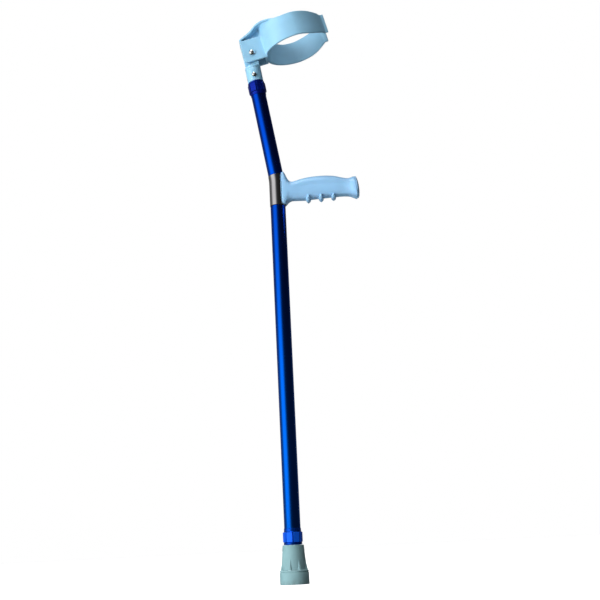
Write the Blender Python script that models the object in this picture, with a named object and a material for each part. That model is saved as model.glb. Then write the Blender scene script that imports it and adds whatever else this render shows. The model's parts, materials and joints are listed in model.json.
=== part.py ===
"""Telescopic forearm crutch: every piece is a closed body of its own. Metres, +Z up.

The origin is the middle of the ferrule's base. +Z runs up the straight shaft and +X is the way the hand
grip points. A "reach" is a distance along the main tube's centre line, from the middle of its bend: negative
down the shaft, positive up the neck.
"""

import math

import bmesh
import bpy
from mathutils import Matrix, Vector

# Fits and facets
GAP = 0.0003
SIDES = 24
SMALL_SIDES = 12
SMOOTH_ANGLE = math.radians(35)

# Tubes
WALL = 0.0012
MAIN_R = 0.0125
MAIN_BORE_R = MAIN_R - WALL
INNER_R = MAIN_BORE_R - GAP
INNER_BORE_R = INNER_R - WALL
BEND_Z = 0.647
BEND_ANGLE = math.radians(9)
BEND_RADIUS = 0.09
BEND_STEPS = 5
MAIN_FOOT = 0.0632 - BEND_Z
MAIN_HEAD = 0.1749
LEG_FOOT_Z = 0.0141
LEG_HEAD_Z = 0.430
CUFF_TUBE_FOOT = 0.040
CUFF_TUBE_HEAD = 0.205

# Height locks: a sprung button in the inner tube, a row of holes in the back of the main tube
HOLE_R = 0.0038
BUTTON_R = HOLE_R - GAP
BUTTON_FLANGE_R = 0.0044
BUTTON_FLANGE_FOOT_Y = 0.0069
BUTTON_FLANGE_TOP_Y = 0.0083
BUTTON_TIP_Y = 0.0142
LEG_HOLES = 13
LEG_HOLE_PITCH = 0.025
LEG_BUTTON_Z = 0.395
CUFF_HOLES = 7
CUFF_HOLE_PITCH = 0.0125
CUFF_BUTTON_REACH = 0.060
CLIP_WIDTH = 0.008
CLIP_THICKNESS = 0.0008

# Ferrule
FERRULE_BASE_R = 0.0221
FERRULE_LIP_R = 0.0212
FERRULE_CREASE_R = 0.0207
FERRULE_CREASE_Z = 0.0186
FERRULE_RING_TOP_Z = 0.0210
FERRULE_SHOULDER_R = 0.0192
FERRULE_NECK_R = 0.0162
FERRULE_TOP_Z = 0.0578
FERRULE_FLOOR_Z = 0.012
GUSSETS = 8
GUSSET_PHASE = math.radians(-62)
GUSSET_RISE = 0.0021
GUSSET_TOP_Z = 0.0370
TREAD_DEPTH = 0.0015
TREAD_GROOVES = ((0.0075, 0.0095), (0.0120, 0.0140), (0.0165, 0.0185))
WASHER_THICKNESS = 0.0015

# Lock collars, measured from the mouth that the inner tube comes out of
COLLAR_LENGTH = 0.0246
COLLAR_FOOT_Z = 0.0581
COLLAR_HEAD = MAIN_HEAD + (BEND_Z + MAIN_FOOT - COLLAR_FOOT_Z)
COLLAR_BODY_R = 0.0142
COLLAR_PAD_R = 0.0150
COLLAR_SKIRT_R = 0.0135
COLLAR_END_R = 0.0132
COLLAR_LIP = 0.0018
COLLAR_PADS = 8
PAD_FOOT = 0.0040
PAD_HEAD = 0.0189
PAD_HALF_ANGLE = math.radians(19)
GROOVE_HALF_ANGLE = math.radians(1.5)
BUSH_LENGTH = 0.0027
BUSH_SPLIT = math.radians(8)

# Handle: a steel strap round the bend, a steel core and a moulded grip
SEAT_R = 0.0119
STRAP_FOOT = 0.6010 - BEND_Z
STRAP_HEAD = 0.0079
STRAP_BORE_R = 0.0122
STRAP_R = 0.0130
RIVET_REACHES = {"strap_rivet_lower": -0.0365, "strap_rivet_upper": -0.0045}
RIVET_R = 0.0019
GRIP_Z = 0.630
CORE_R = 0.0060
CORE_END_X = 0.1205
CORE_FLANGE_R = 0.0078
GRIP_SADDLE_R = STRAP_R + GAP
GRIP_END_TILT = math.radians(6)
GRIP_POCKET_R = 0.0095
SCREW_R = 0.0023
# Grip sections: distance along X, top Z, bottom Z, half width, share of the end tilt
GRIP_SECTIONS = (
    (0.0078, 0.6596, 0.6002, 0.0136, 0.0),
    (0.0115, 0.6600, 0.6008, 0.0138, 0.0),
    (0.0150, 0.6535, 0.6050, 0.0138, 0.0),
    (0.0185, 0.6465, 0.6092, 0.0137, 0.0),
    (0.0240, 0.6428, 0.6105, 0.0137, 0.0),
    (0.0380, 0.6465, 0.6103, 0.0142, 0.0),
    (0.0550, 0.6492, 0.6112, 0.0148, 0.0),
    (0.0780, 0.6500, 0.6126, 0.0152, 0.0),
    (0.0960, 0.6484, 0.6140, 0.0148, 0.2),
    (0.1120, 0.6442, 0.6142, 0.0144, 0.6),
    (0.1200, 0.6438, 0.6134, 0.0150, 0.9),
    (0.1260, 0.6455, 0.6105, 0.0166, 1.0),
    (0.1300, 0.6462, 0.6088, 0.0172, 1.0),
)
# Finger nubs: distance along X and lowest Z
NUBS = ((0.0510, 0.6062), (0.0720, 0.6072), (0.0925, 0.6084))
NUB_R = 0.0040
# End cap: share of its half sizes and height of the dome there
CAP_DOME = ((1.0, 0.0012), (0.90, 0.0027), (0.62, 0.0040), (0.25, 0.0045))

# Arm stem on top of the cuff tube, and the pivot that it carries
STEM_R = 0.0134
STEM_FOOT = 0.1805
STEM_HEAD = 0.2095
STEM_SCREW_REACH = 0.1903
PIVOT_REACH = 0.2308
PIVOT_FORWARD = 0.0038
TONGUE_R = 0.0085
TONGUE_HALF_Y = 0.0085
PIVOT_R = 0.0030
PIVOT_WASHER_R = 0.0068

# Cuff, in its own frame at the pivot: u forward, c up
CUFF_TILT = math.radians(14.5)
CUFF_CENTRE_U = 0.0784
CUFF_SEMI_U = 0.0582
CUFF_SEMI_Y = 0.0530
CUFF_FRONT_POWER = 1.25
CUFF_DRAFT = 0.034
CUFF_WALL = 0.0035
CUFF_FOOT_C = -0.0107
CUFF_FRONT_FOOT_C = -0.0054
CUFF_TOP_C = 0.0310
CUFF_BACK_TOP_C = 0.0460
BACK_RISE_END = math.radians(76)
BACK_RISE_SPAN = math.radians(61)
FRONT_RISE_START = math.radians(120)
FRONT_RISE_SPAN = math.radians(38)
CUFF_STEPS = 24
CUFF_MOUTH_ANGLE = math.radians(154.5)
LIP_POINTS = ((0.1305, 0.0181), (0.1358, 0.0177))
FORK_HALF_Y = 0.0137
FORK_INSIDE_Y = 0.0102
FORK_BACK_U = -0.0165
FORK_WALL_U = -0.0115
FORK_FRONT_U = 0.030
FORK_FOOT_C = -0.0153
FORK_FLOOR_C = 0.013
FORK_CORNER_R = 0.0055
FORK_TOP = ((FORK_FRONT_U, 0.0255), (0.006, 0.0262), (-0.0100, 0.0258), (-0.0143, 0.0285))
WEB_HALF_Y = 0.0095
WEB_FOOT = ((-0.0125, 0.020), (0.030, 0.020))
WEB_TOP = ((0.030, 0.0385), (0.018, 0.0428), (0.006, 0.0355), (-0.0125, 0.0265))
# Hood stations: u, top c, half width, depth of its edge
HOOD_STATIONS = (
    (-0.0147, 0.0294, 0.0143, 0.0068),
    (0.0060, 0.0386, 0.0152, 0.0086),
    (0.0180, 0.0450, 0.0195, 0.0064),
    (0.0260, 0.0428, 0.0270, 0.0050),
    (0.0310, 0.0404, 0.0335, 0.0046),
    (0.0360, 0.0387, 0.0385, 0.0042),
    (0.0420, 0.0358, 0.0430, 0.0034),
    (0.0460, 0.0338, 0.0452, 0.0028),
)

# Colour, roughness and metallic value of each finish
FINISHES = {
    "anodised_blue": ((0.005, 0.045, 0.60), 0.22, 0.9),
    "inner_aluminium": ((0.72, 0.73, 0.75), 0.30, 1.0),
    "collar_blue": ((0.005, 0.06, 0.65), 0.25, 0.0),
    "cuff_plastic": ((0.36, 0.62, 0.80), 0.38, 0.0),
    "grip_plastic": ((0.34, 0.56, 0.76), 0.40, 0.0),
    "rubber_grey": ((0.30, 0.41, 0.42), 0.70, 0.0),
    "polished_steel": ((0.80, 0.80, 0.80), 0.08, 1.0),
    "fastener_steel": ((0.72, 0.72, 0.74), 0.20, 1.0),
    "nylon": ((0.80, 0.80, 0.78), 0.45, 0.0),
    "spring_steel": ((0.45, 0.45, 0.47), 0.30, 1.0),
}

TO_BACK = Matrix.Rotation(-math.pi / 2, 4, "X")
TO_FRONT = Matrix.Rotation(math.pi / 2, 4, "Y")


# Frames

def tube_frame(reach):
    """The frame of the main tube's section at a reach: Z along the centre line, X forward."""
    half = BEND_ANGLE / 2
    angle = min(max(reach / BEND_RADIUS + half, 0.0), BEND_ANGLE)
    straight = reach - (angle - half) * BEND_RADIUS
    centre = Vector((-BEND_RADIUS, 0.0, BEND_Z - BEND_RADIUS * math.tan(half)))
    outward = Vector((math.cos(angle), 0.0, math.sin(angle)))
    along = Vector((-math.sin(angle), 0.0, math.cos(angle)))
    place = centre + outward * BEND_RADIUS + along * straight
    return Matrix.Translation(place) @ Matrix.Rotation(-angle, 4, "Y")


def pivot_frame():
    """The cuff's frame: at the pivot, tilted back from level."""
    pivot = tube_frame(PIVOT_REACH) @ Vector((PIVOT_FORWARD, 0.0, 0.0))
    return Matrix.Translation(pivot) @ Matrix.Rotation(-CUFF_TILT, 4, "Y")


def add_frame(name, matrix):
    """An empty that pieces are parented to."""
    frame = bpy.data.objects.new(name, None)
    frame.empty_display_size = 0.02
    frame.matrix_world = matrix
    bpy.context.scene.collection.objects.link(frame)
    return frame


# Mesh building

def circle(radius, height, sides, phase=0.0):
    """Points of a circle about Z."""
    steps = [phase + 2 * math.pi * i / sides for i in range(sides)]
    return [Vector((radius * math.cos(a), radius * math.sin(a), height)) for a in steps]


def bridge(bm, first, second):
    """Join two rows of corners with faces. A row of one corner is a point."""
    count = max(len(first), len(second))
    for i in range(count):
        j = (i + 1) % count
        corners = (
            first[i % len(first)],
            first[j % len(first)],
            second[j % len(second)],
            second[i % len(second)],
        )
        bm.faces.new(tuple(dict.fromkeys(corners)))


def add_rows(bm, rows):
    return [[bm.verts.new(point) for point in row] for row in rows]


def ring_body(rows):
    """A body round a hole: each row joins the next, and the last joins the first."""
    bm = bmesh.new()
    corners = add_rows(bm, rows)
    for first, second in zip(corners, corners[1:] + corners[:1]):
        bridge(bm, first, second)
    return bm


def capped_body(rows):
    """A body lofted through rows, with its first and last rows closed."""
    bm = bmesh.new()
    corners = add_rows(bm, rows)
    for first, second in zip(corners, corners[1:]):
        bridge(bm, first, second)
    for end in (corners[0], corners[-1]):
        if len(end) > 2:
            bm.faces.new(end)
    return bm


def profile_rows(profile, sides, phase=0.0):
    """Turn (radius, height) points into rows; a zero radius gives one corner on the axis."""
    return [circle(r, z, sides, phase) if r > 0 else [Vector((0, 0, z))] for r, z in profile]


def turned_solid(profile, sides=SMALL_SIDES):
    return capped_body(profile_rows(profile, sides))


def turned_ring(profile, sides=SIDES):
    return ring_body(profile_rows(profile, sides))


def sleeve(inner, outer, foot, head, sides=SIDES):
    """A plain ring or short tube."""
    return turned_ring(((inner, foot), (outer, foot), (outer, head), (inner, head)), sides)


def rod(radius, foot, head, sides=SMALL_SIDES):
    return turned_solid(((radius, foot), (radius, head)), sides)


def slab(outline, half_y):
    """An outline of (x, z) points, extruded to both sides of the XZ plane."""
    return capped_body([[Vector((x, y, z)) for x, z in outline] for y in (-half_y, half_y)])


def box(low, high):
    x0, y0, z0 = low
    x1, y1, z1 = high
    rows = [[Vector(p) for p in ((x0, y0, z), (x1, y0, z), (x1, y1, z), (x0, y1, z))] for z in (z0, z1)]
    return capped_body(rows)


def moved(bm, matrix):
    bmesh.ops.transform(bm, matrix=matrix, verts=bm.verts)
    return bm


def merged(parts):
    """Several bodies in one mesh, for cutters."""
    joined = bmesh.new()
    for part in parts:
        scratch = bpy.data.meshes.new("scratch")
        part.to_mesh(scratch)
        part.free()
        joined.from_mesh(scratch)
        bpy.data.meshes.remove(scratch)
    return joined


# Objects

def finish_material(finish):
    """The named finish as a Principled material, made once."""
    material = bpy.data.materials.get(finish)
    if material:
        return material
    colour, roughness, metallic = FINISHES[finish]
    material = bpy.data.materials.new(finish)
    material.use_nodes = True
    shader = material.node_tree.nodes["Principled BSDF"]
    shader.inputs["Base Color"].default_value = (*colour, 1.0)
    shader.inputs["Roughness"].default_value = roughness
    shader.inputs["Metallic"].default_value = metallic
    material.diffuse_color = (*colour, 1.0)
    return material


def add_piece(name, bm, finish, parent=None, place=None):
    """Make a named object from a mesh under construction."""
    bmesh.ops.recalc_face_normals(bm, faces=bm.faces)
    mesh = bpy.data.meshes.new(name)
    bm.to_mesh(mesh)
    bm.free()
    if finish:
        mesh.materials.append(finish_material(finish))
    mesh.shade_smooth()
    mesh.set_sharp_from_angle(angle=SMOOTH_ANGLE)
    piece = bpy.data.objects.new(name, mesh)
    bpy.context.scene.collection.objects.link(piece)
    piece.parent = parent
    if place is not None:
        piece.matrix_local = place
    return piece


def combine(piece, name, bm, operation, place=None):
    """Cut a shape from a piece, or join it on, with a Boolean that stays on the piece."""
    tool = add_piece(name, bm, None, piece.parent, place)
    tool.hide_render = True
    tool.display_type = "WIRE"
    modifier = piece.modifiers.new(name, "BOOLEAN")
    modifier.operation = operation
    modifier.solver = "EXACT"
    modifier.object = tool


def cut(piece, name, bm, place=None):
    combine(piece, name, bm, "DIFFERENCE", place)


def join(piece, name, bm, place=None):
    combine(piece, name, bm, "UNION", place)


# Tubes

def bent_rows(radius, reaches):
    """Circles round the main tube's centre line."""
    return [[tube_frame(s) @ p for p in circle(radius, 0.0, SIDES)] for s in reaches]


def bend_reaches():
    half = BEND_RADIUS * BEND_ANGLE / 2
    return [half * (2 * i / BEND_STEPS - 1) for i in range(BEND_STEPS + 1)]


def hole_cutter(reaches, radius, sides=SMALL_SIDES):
    """Holes through the back wall (+Y) of a tube."""
    drill = [moved(rod(radius, 0.005, 0.020, sides), tube_frame(s) @ TO_BACK) for s in reaches]
    return merged(drill)


def make_main_tube():
    seat_foot = STRAP_FOOT - GAP
    seat_head = STRAP_HEAD + GAP
    seat = [seat_foot] + bend_reaches() + [seat_head]
    rows = bent_rows(MAIN_R, (MAIN_FOOT, seat_foot - GAP))
    rows += bent_rows(SEAT_R, seat)
    rows += bent_rows(MAIN_R, (seat_head + GAP, MAIN_HEAD))
    rows += bent_rows(MAIN_BORE_R, [MAIN_HEAD] + bend_reaches()[::-1] + [MAIN_FOOT])
    tube = add_piece("main_tube", ring_body(rows), "anodised_blue")
    leg_row = [LEG_BUTTON_Z - BEND_Z - i * LEG_HOLE_PITCH for i in range(LEG_HOLES)]
    cuff_row = [CUFF_BUTTON_REACH + i * CUFF_HOLE_PITCH for i in range(CUFF_HOLES)]
    cut(tube, "lock_hole_cutter", hole_cutter(leg_row + cuff_row, HOLE_R))
    cut(tube, "rivet_hole_cutter", hole_cutter(RIVET_REACHES.values(), RIVET_R + GAP))
    cut(tube, "core_hole_cutter", core_drill())


def make_leg_tube():
    tube = add_piece("leg_tube", sleeve(INNER_BORE_R, INNER_R, LEG_FOOT_Z, LEG_HEAD_Z), "inner_aluminium")
    cut(tube, "leg_button_cutter", hole_cutter([LEG_BUTTON_Z - BEND_Z], HOLE_R))


def make_cuff_tube(neck):
    body = sleeve(INNER_BORE_R, INNER_R, CUFF_TUBE_FOOT, CUFF_TUBE_HEAD)
    tube = add_piece("cuff_tube", body, "inner_aluminium", neck)
    drill = rod(HOLE_R, 0.005, 0.020)
    cut(tube, "cuff_button_cutter", drill, at_height(CUFF_BUTTON_REACH) @ TO_BACK)
    cut(tube, "stem_screw_cutter", rod(SCREW_R + GAP, -0.02, 0.02), at_height(STEM_SCREW_REACH) @ TO_BACK)


def at_height(height):
    return Matrix.Translation((0.0, 0.0, height))


def tube_plug(head):
    """A plug in a tube's end, with a flange on its face."""
    plug_r = INNER_BORE_R - GAP
    flange_foot = head + GAP
    profile = (
        (0.0, head - 0.010),
        (plug_r - 0.001, head - 0.010),
        (plug_r, head - 0.008),
        (plug_r, flange_foot),
        (INNER_R - GAP, flange_foot),
        (INNER_R - GAP, flange_foot + 0.0015),
        (0.0, flange_foot + 0.0015),
    )
    return turned_solid(profile, SIDES)


# Locks

def lock_button():
    """Flanged button along Z, with a rounded tip."""
    profile = (
        (0.0, BUTTON_FLANGE_FOOT_Y),
        (BUTTON_FLANGE_R, BUTTON_FLANGE_FOOT_Y),
        (BUTTON_FLANGE_R, BUTTON_FLANGE_TOP_Y),
        (BUTTON_R, BUTTON_FLANGE_TOP_Y),
        (BUTTON_R, BUTTON_TIP_Y - 0.0015),
        (BUTTON_R * 0.8, BUTTON_TIP_Y - 0.0005),
        (0.0, BUTTON_TIP_Y),
    )
    return turned_solid(profile)


def spring_clip():
    """A strip bent into a V: one leaf under the button, the other on the far wall."""
    centre_line = (
        (0.0061, 0.006),
        (0.0061, -0.006),
        (0.0030, -0.026),
        (-0.0010, -0.036),
        (-0.0050, -0.033),
        (-0.0080, -0.022),
        (-0.0080, 0.008),
    )
    left, right = [], []
    last = len(centre_line) - 1
    for i, (y, z) in enumerate(centre_line):
        before = Vector(centre_line[max(i - 1, 0)])
        after = Vector(centre_line[min(i + 1, last)])
        along = (after - before).normalized() * CLIP_THICKNESS / 2
        left.append((y - along.y, z + along.x))
        right.append((y + along.y, z - along.x))
    body = slab(left + right[::-1], CLIP_WIDTH / 2)
    return moved(body, Matrix.Rotation(math.pi / 2, 4, "Z"))


def lock_bush():
    """A split ring between the collar's lip and the main tube's end."""
    span = 2 * math.pi - BUSH_SPLIT
    rows = []
    for i in range(SIDES):
        a = BUSH_SPLIT / 2 + span * i / (SIDES - 1)
        outward = Vector((math.cos(a), math.sin(a), 0.0))
        up = Vector((0.0, 0.0, BUSH_LENGTH))
        inner, outer = outward * MAIN_BORE_R, outward * MAIN_R
        rows.append([inner, outer, outer + up, inner + up])
    return capped_body(rows)


def pad_row(pad_radius, groove_radius, height):
    """A circle with pads standing on it: three corners to a pad, two to a groove."""
    row = []
    pitch = 2 * math.pi / COLLAR_PADS
    for pad in range(COLLAR_PADS):
        middle = pad * pitch
        for offset in (-PAD_HALF_ANGLE, 0.0, PAD_HALF_ANGLE):
            row.append((pad_radius, middle + offset))
        for offset in (-GROOVE_HALF_ANGLE, GROOVE_HALF_ANGLE):
            row.append((groove_radius, middle + pitch / 2 + offset))
    return [Vector((r * math.cos(a), r * math.sin(a), height)) for r, a in row]


def lock_collar():
    """Clamp collar with raised pads, mouth at Z = 0."""
    outline = (
        (COLLAR_BODY_R - 0.0008, COLLAR_BODY_R - 0.0008, 0.0),
        (COLLAR_BODY_R, COLLAR_BODY_R, 0.0008),
        (COLLAR_BODY_R, COLLAR_BODY_R, PAD_FOOT),
        (COLLAR_PAD_R - 0.0002, COLLAR_BODY_R, PAD_FOOT + 0.0004),
        (COLLAR_PAD_R, COLLAR_BODY_R, PAD_HEAD - 0.0004),
        (COLLAR_BODY_R, COLLAR_BODY_R, PAD_HEAD),
        (COLLAR_SKIRT_R, COLLAR_SKIRT_R, PAD_HEAD + 0.0006),
        (COLLAR_END_R, COLLAR_END_R, COLLAR_LENGTH),
        (MAIN_R + GAP, MAIN_R + GAP, COLLAR_LENGTH),
        (MAIN_R + GAP, MAIN_R + GAP, COLLAR_LIP),
        (MAIN_BORE_R, MAIN_BORE_R, COLLAR_LIP),
        (MAIN_BORE_R, MAIN_BORE_R, 0.0),
    )
    return ring_body([pad_row(*station) for station in outline])


def make_locks(neck):
    upside_down = Matrix.Rotation(math.pi, 4, "X")
    add_piece("leg_lock_collar", lock_collar(), "collar_blue", None, at_height(COLLAR_FOOT_Z))
    add_piece("cuff_lock_collar", lock_collar(), "collar_blue", neck, at_height(COLLAR_HEAD) @ upside_down)
    bush_foot = COLLAR_LIP + GAP
    add_piece("lower_bush", lock_bush(), "nylon", None, at_height(COLLAR_FOOT_Z + bush_foot))
    upper = at_height(COLLAR_HEAD - bush_foot) @ upside_down
    add_piece("upper_bush", lock_bush(), "nylon", neck, upper)
    leg_button = at_height(LEG_BUTTON_Z)
    add_piece("leg_button", lock_button(), "fastener_steel", None, leg_button @ TO_BACK)
    add_piece("leg_spring_clip", spring_clip(), "spring_steel", None, leg_button)
    cuff_button = at_height(CUFF_BUTTON_REACH)
    clip_up = Matrix.Scale(-1, 4, (0, 0, 1))
    add_piece("cuff_button", lock_button(), "fastener_steel", neck, cuff_button @ TO_BACK)
    add_piece("cuff_spring_clip", moved(spring_clip(), clip_up), "spring_steel", neck, cuff_button)
    add_piece("leg_tube_plug", tube_plug(LEG_HEAD_Z), "nylon")
    add_piece("cuff_tube_plug", tube_plug(0.0), "nylon", neck, at_height(CUFF_TUBE_FOOT) @ upside_down)


# Ferrule

def ferrule_body():
    """Rubber foot: grooved tread, base ring, cone with gussets that stand on the ring."""
    tread = [(0.0, 0.0)]
    for inner, outer in TREAD_GROOVES:
        tread += [(inner, 0.0), (inner, TREAD_DEPTH), (outer, TREAD_DEPTH), (outer, 0.0)]
    chamfer = 0.0008
    cone_share = (GUSSET_TOP_Z - FERRULE_RING_TOP_Z) / (FERRULE_TOP_Z - FERRULE_RING_TOP_Z)
    outside = [
        (FERRULE_BASE_R, 0.0),
        (FERRULE_BASE_R, FERRULE_CREASE_Z - chamfer),
        (FERRULE_CREASE_R, FERRULE_CREASE_Z),
        (FERRULE_LIP_R, FERRULE_CREASE_Z + chamfer),
        (FERRULE_LIP_R, FERRULE_RING_TOP_Z),
        (FERRULE_SHOULDER_R, FERRULE_RING_TOP_Z),
        (FERRULE_SHOULDER_R + (FERRULE_NECK_R - FERRULE_SHOULDER_R) * cone_share, GUSSET_TOP_Z),
        (FERRULE_NECK_R, FERRULE_TOP_Z - chamfer),
        (FERRULE_NECK_R - chamfer, FERRULE_TOP_Z),
    ]
    inside = [(MAIN_BORE_R, FERRULE_TOP_Z), (MAIN_BORE_R, FERRULE_FLOOR_Z), (0.0, FERRULE_FLOOR_Z)]
    corners_per_gusset = 5
    rows = profile_rows(tread + outside + inside, GUSSETS * corners_per_gusset, GUSSET_PHASE)
    shoulder = rows[len(tread) + 5]
    for corner in shoulder[::corners_per_gusset]:
        corner.xy *= 1 + GUSSET_RISE / FERRULE_SHOULDER_R
    return capped_body(rows)


def make_ferrule():
    add_piece("ferrule", ferrule_body(), "rubber_grey")
    foot = FERRULE_FLOOR_Z + GAP
    add_piece("ferrule_washer", rod(INNER_R, foot, foot + WASHER_THICKNESS, SIDES), "fastener_steel")


# Handle

def core_drill():
    """The hole for the handle's core, through the front wall only."""
    return moved(rod(CORE_R + GAP, 0.002, 0.020, SIDES), at_height(GRIP_Z) @ TO_FRONT)


def make_strap():
    reaches = [STRAP_FOOT] + bend_reaches() + [STRAP_HEAD]
    rows = bent_rows(STRAP_R, reaches) + bent_rows(STRAP_BORE_R, reaches[::-1])
    strap = add_piece("handle_strap", ring_body(rows), "polished_steel")
    cut(strap, "strap_rivet_cutter", hole_cutter(RIVET_REACHES.values(), RIVET_R + GAP))
    cut(strap, "strap_core_cutter", core_drill())


def make_rivets():
    """Blind rivets: a dome outside the strap, a collar inside the tube."""
    head = STRAP_R + GAP
    tail = MAIN_BORE_R - 3 * GAP
    profile = (
        (0.0, tail - 0.0014),
        (0.0028, tail - 0.0012),
        (0.0028, tail),
        (RIVET_R, tail),
        (RIVET_R, head),
        (0.0035, head),
        (0.0034, head + 0.0006),
        (0.0022, head + 0.0015),
        (0.0, head + 0.0018),
    )
    for name, reach in RIVET_REACHES.items():
        add_piece(name, turned_solid(profile), "fastener_steel", None, tube_frame(reach) @ TO_BACK)


def make_core():
    """Steel core: a flange inside the tube, a rod out along the grip, a threaded hole in its end."""
    thread_r = SCREW_R + GAP
    profile = (
        (0.0, 0.0040),
        (CORE_FLANGE_R, 0.0040),
        (CORE_FLANGE_R, 0.0072),
        (CORE_R, 0.0072),
        (CORE_R, CORE_END_X),
        (thread_r, CORE_END_X),
        (thread_r, CORE_END_X - 0.0145),
        (0.0, CORE_END_X - 0.0160),
    )
    place = at_height(GRIP_Z) @ TO_FRONT
    add_piece("handle_core", turned_solid(profile, SIDES), "fastener_steel", None, place)


def grip_section(x, top, foot, half_width, tilt_share):
    """A rounded section, broadest above its middle, leaning with the end of the grip."""
    middle = (top + foot) / 2
    half_height = (top - foot) / 2
    lean = tilt_share * math.tan(GRIP_END_TILT)
    row = []
    for point in circle(1.0, 0.0, SIDES):
        across = math.copysign(abs(point.x) ** 0.85, point.x)
        up = math.copysign(abs(point.y) ** 0.9, point.y)
        z = middle + half_height * up
        row.append(Vector((x - lean * (z - GRIP_Z), across * half_width, z)))
    return row


def nub(x, foot):
    """A finger nub: a ridge round the underside of the grip, tapering out on its sides."""
    profile = ((0.0, 0.0), (NUB_R * 0.75, 0.0012), (NUB_R, 0.0034), (NUB_R * 0.8, 0.0065), (0.0, 0.0110))
    drop = turned_solid(profile, 10)
    stretch = Matrix.Diagonal((1.0, 3.4, 1.0, 1.0))
    return moved(drop, Matrix.Translation((x, 0.0, foot)) @ stretch)


def make_grip():
    grip = add_piece("grip", capped_body([grip_section(*s) for s in GRIP_SECTIONS]), "grip_plastic")
    for i, place in enumerate(NUBS):
        join(grip, f"nub_guide_{i}", nub(*place))
    reaches = [STRAP_FOOT - 0.010] + bend_reaches() + [STRAP_HEAD + 0.010]
    cut(grip, "saddle_cutter", capped_body(bent_rows(GRIP_SADDLE_R, reaches)))
    cut(grip, "core_bore_cutter", rod(CORE_R + GAP, 0.0, 0.150, SIDES), at_height(GRIP_Z) @ TO_FRONT)
    pocket = rod(GRIP_POCKET_R, CORE_END_X + 0.0005, 0.150, SIDES)
    cut(grip, "pocket_cutter", pocket, at_height(GRIP_Z) @ TO_FRONT)


def make_grip_end():
    """Washer and screw in the grip's end pocket, closed by a leaning cap with a spigot."""
    washer_foot = CORE_END_X + 2 * GAP
    head_foot = washer_foot + WASHER_THICKNESS + GAP
    place = at_height(GRIP_Z) @ TO_FRONT
    washer = sleeve(SCREW_R + GAP, 0.0088, washer_foot, head_foot - GAP)
    add_piece("grip_washer", washer, "fastener_steel", None, place)
    screw = (
        (0.0, CORE_END_X - 0.0140),
        (SCREW_R, CORE_END_X - 0.0135),
        (SCREW_R, head_foot),
        (0.0045, head_foot),
        (0.0042, head_foot + 0.0012),
        (0.0025, head_foot + 0.0020),
        (0.0, head_foot + 0.0022),
    )
    add_piece("grip_screw", turned_solid(screw), "fastener_steel", None, place)
    end_x, top, foot, half_width, _ = GRIP_SECTIONS[-1]
    middle = (top + foot) / 2
    half_height = (top - foot) / 2 / math.cos(GRIP_END_TILT)
    centre_x = end_x - math.tan(GRIP_END_TILT) * (middle - GRIP_Z)
    stations = ((0.97, 0.0), (1.0, 0.0006), *CAP_DOME)
    rows = []
    for share, depth in stations:
        loop = circle(share, depth, SIDES)
        rows.append([Vector((p.x * half_height, p.y * half_width, p.z)) for p in loop])
    lean = Matrix.Rotation(-GRIP_END_TILT, 4, "Y") @ TO_FRONT
    origin = Matrix.Translation((centre_x + GAP / math.cos(GRIP_END_TILT), 0.0, middle))
    cap = add_piece("grip_end_cap", capped_body(rows), "grip_plastic", None, origin @ lean)
    spigot_r = GRIP_POCKET_R - GAP
    spigot = sleeve(spigot_r - 0.0015, spigot_r, end_x - 0.0040, end_x + 0.0015)
    join(cap, "spigot_guide", spigot, place)


# Arm stem and its fasteners

def make_arm_stem(neck):
    """Moulded stem: a socket for the cuff tube below, a tongue for the pivot above."""
    profile = (
        (INNER_R + GAP, STEM_FOOT),
        (STEM_R - 0.0005, STEM_FOOT),
        (STEM_R, STEM_FOOT + 0.0005),
        (STEM_R, STEM_HEAD - 0.0008),
        (STEM_R - 0.0008, STEM_HEAD),
        (0.0, STEM_HEAD),
        (0.0, CUFF_TUBE_HEAD + GAP),
        (INNER_R + GAP, CUFF_TUBE_HEAD + GAP),
    )
    rows = profile_rows(profile, SIDES)
    body = bmesh.new()
    corners = add_rows(body, rows[:6])
    inside = add_rows(body, rows[6:])
    for first, second in zip(corners, corners[1:]):
        bridge(body, first, second)
    bridge(body, inside[0], inside[1])
    bridge(body, inside[1], corners[0])
    stem = add_piece("arm_stem", body, "cuff_plastic", neck)
    arc = [math.pi * i / 10 for i in range(11)]
    outline = [(PIVOT_FORWARD + TONGUE_R * math.cos(a), PIVOT_REACH + TONGUE_R * math.sin(a)) for a in arc]
    outline += [(PIVOT_FORWARD - TONGUE_R, STEM_HEAD - 0.001), (PIVOT_FORWARD + TONGUE_R, STEM_HEAD - 0.001)]
    join(stem, "tongue_guide", slab(outline, TONGUE_HALF_Y))
    bore = rod(PIVOT_R + GAP, -0.02, 0.02, SIDES)
    at_pivot = Matrix.Translation((PIVOT_FORWARD, 0.0, PIVOT_REACH))
    cut(stem, "stem_pivot_cutter", bore, at_pivot @ TO_BACK)
    screw_hole = rod(SCREW_R + GAP, -0.02, 0.02)
    cut(stem, "stem_hole_cutter", screw_hole, at_height(STEM_SCREW_REACH) @ TO_BACK)


def dome_bolt(shank_r, head_r, head_y, end_y):
    """A round-headed bolt along Z whose head is at the bottom."""
    rise = head_r * 0.6
    profile = [(0.0, -head_y - rise)]
    for i in (1, 2, 3):
        a = i * math.pi / 7
        profile.append((head_r * math.sin(a), -head_y - rise * math.cos(a)))
    profile += [(head_r, -head_y - 0.0003), (head_r, -head_y)]
    profile += [(shank_r, -head_y), (shank_r, end_y), (0.0, end_y)]
    return turned_solid(profile, SIDES)


def hex_nut(bore_r, across, foot, head):
    """A six-sided nut round Z."""
    rows = []
    for radius, height in ((bore_r, foot), (across / 2, foot), (across / 2, head), (bore_r, head)):
        rows.append(circle(radius, height, 6))
    return ring_body(rows)


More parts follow.
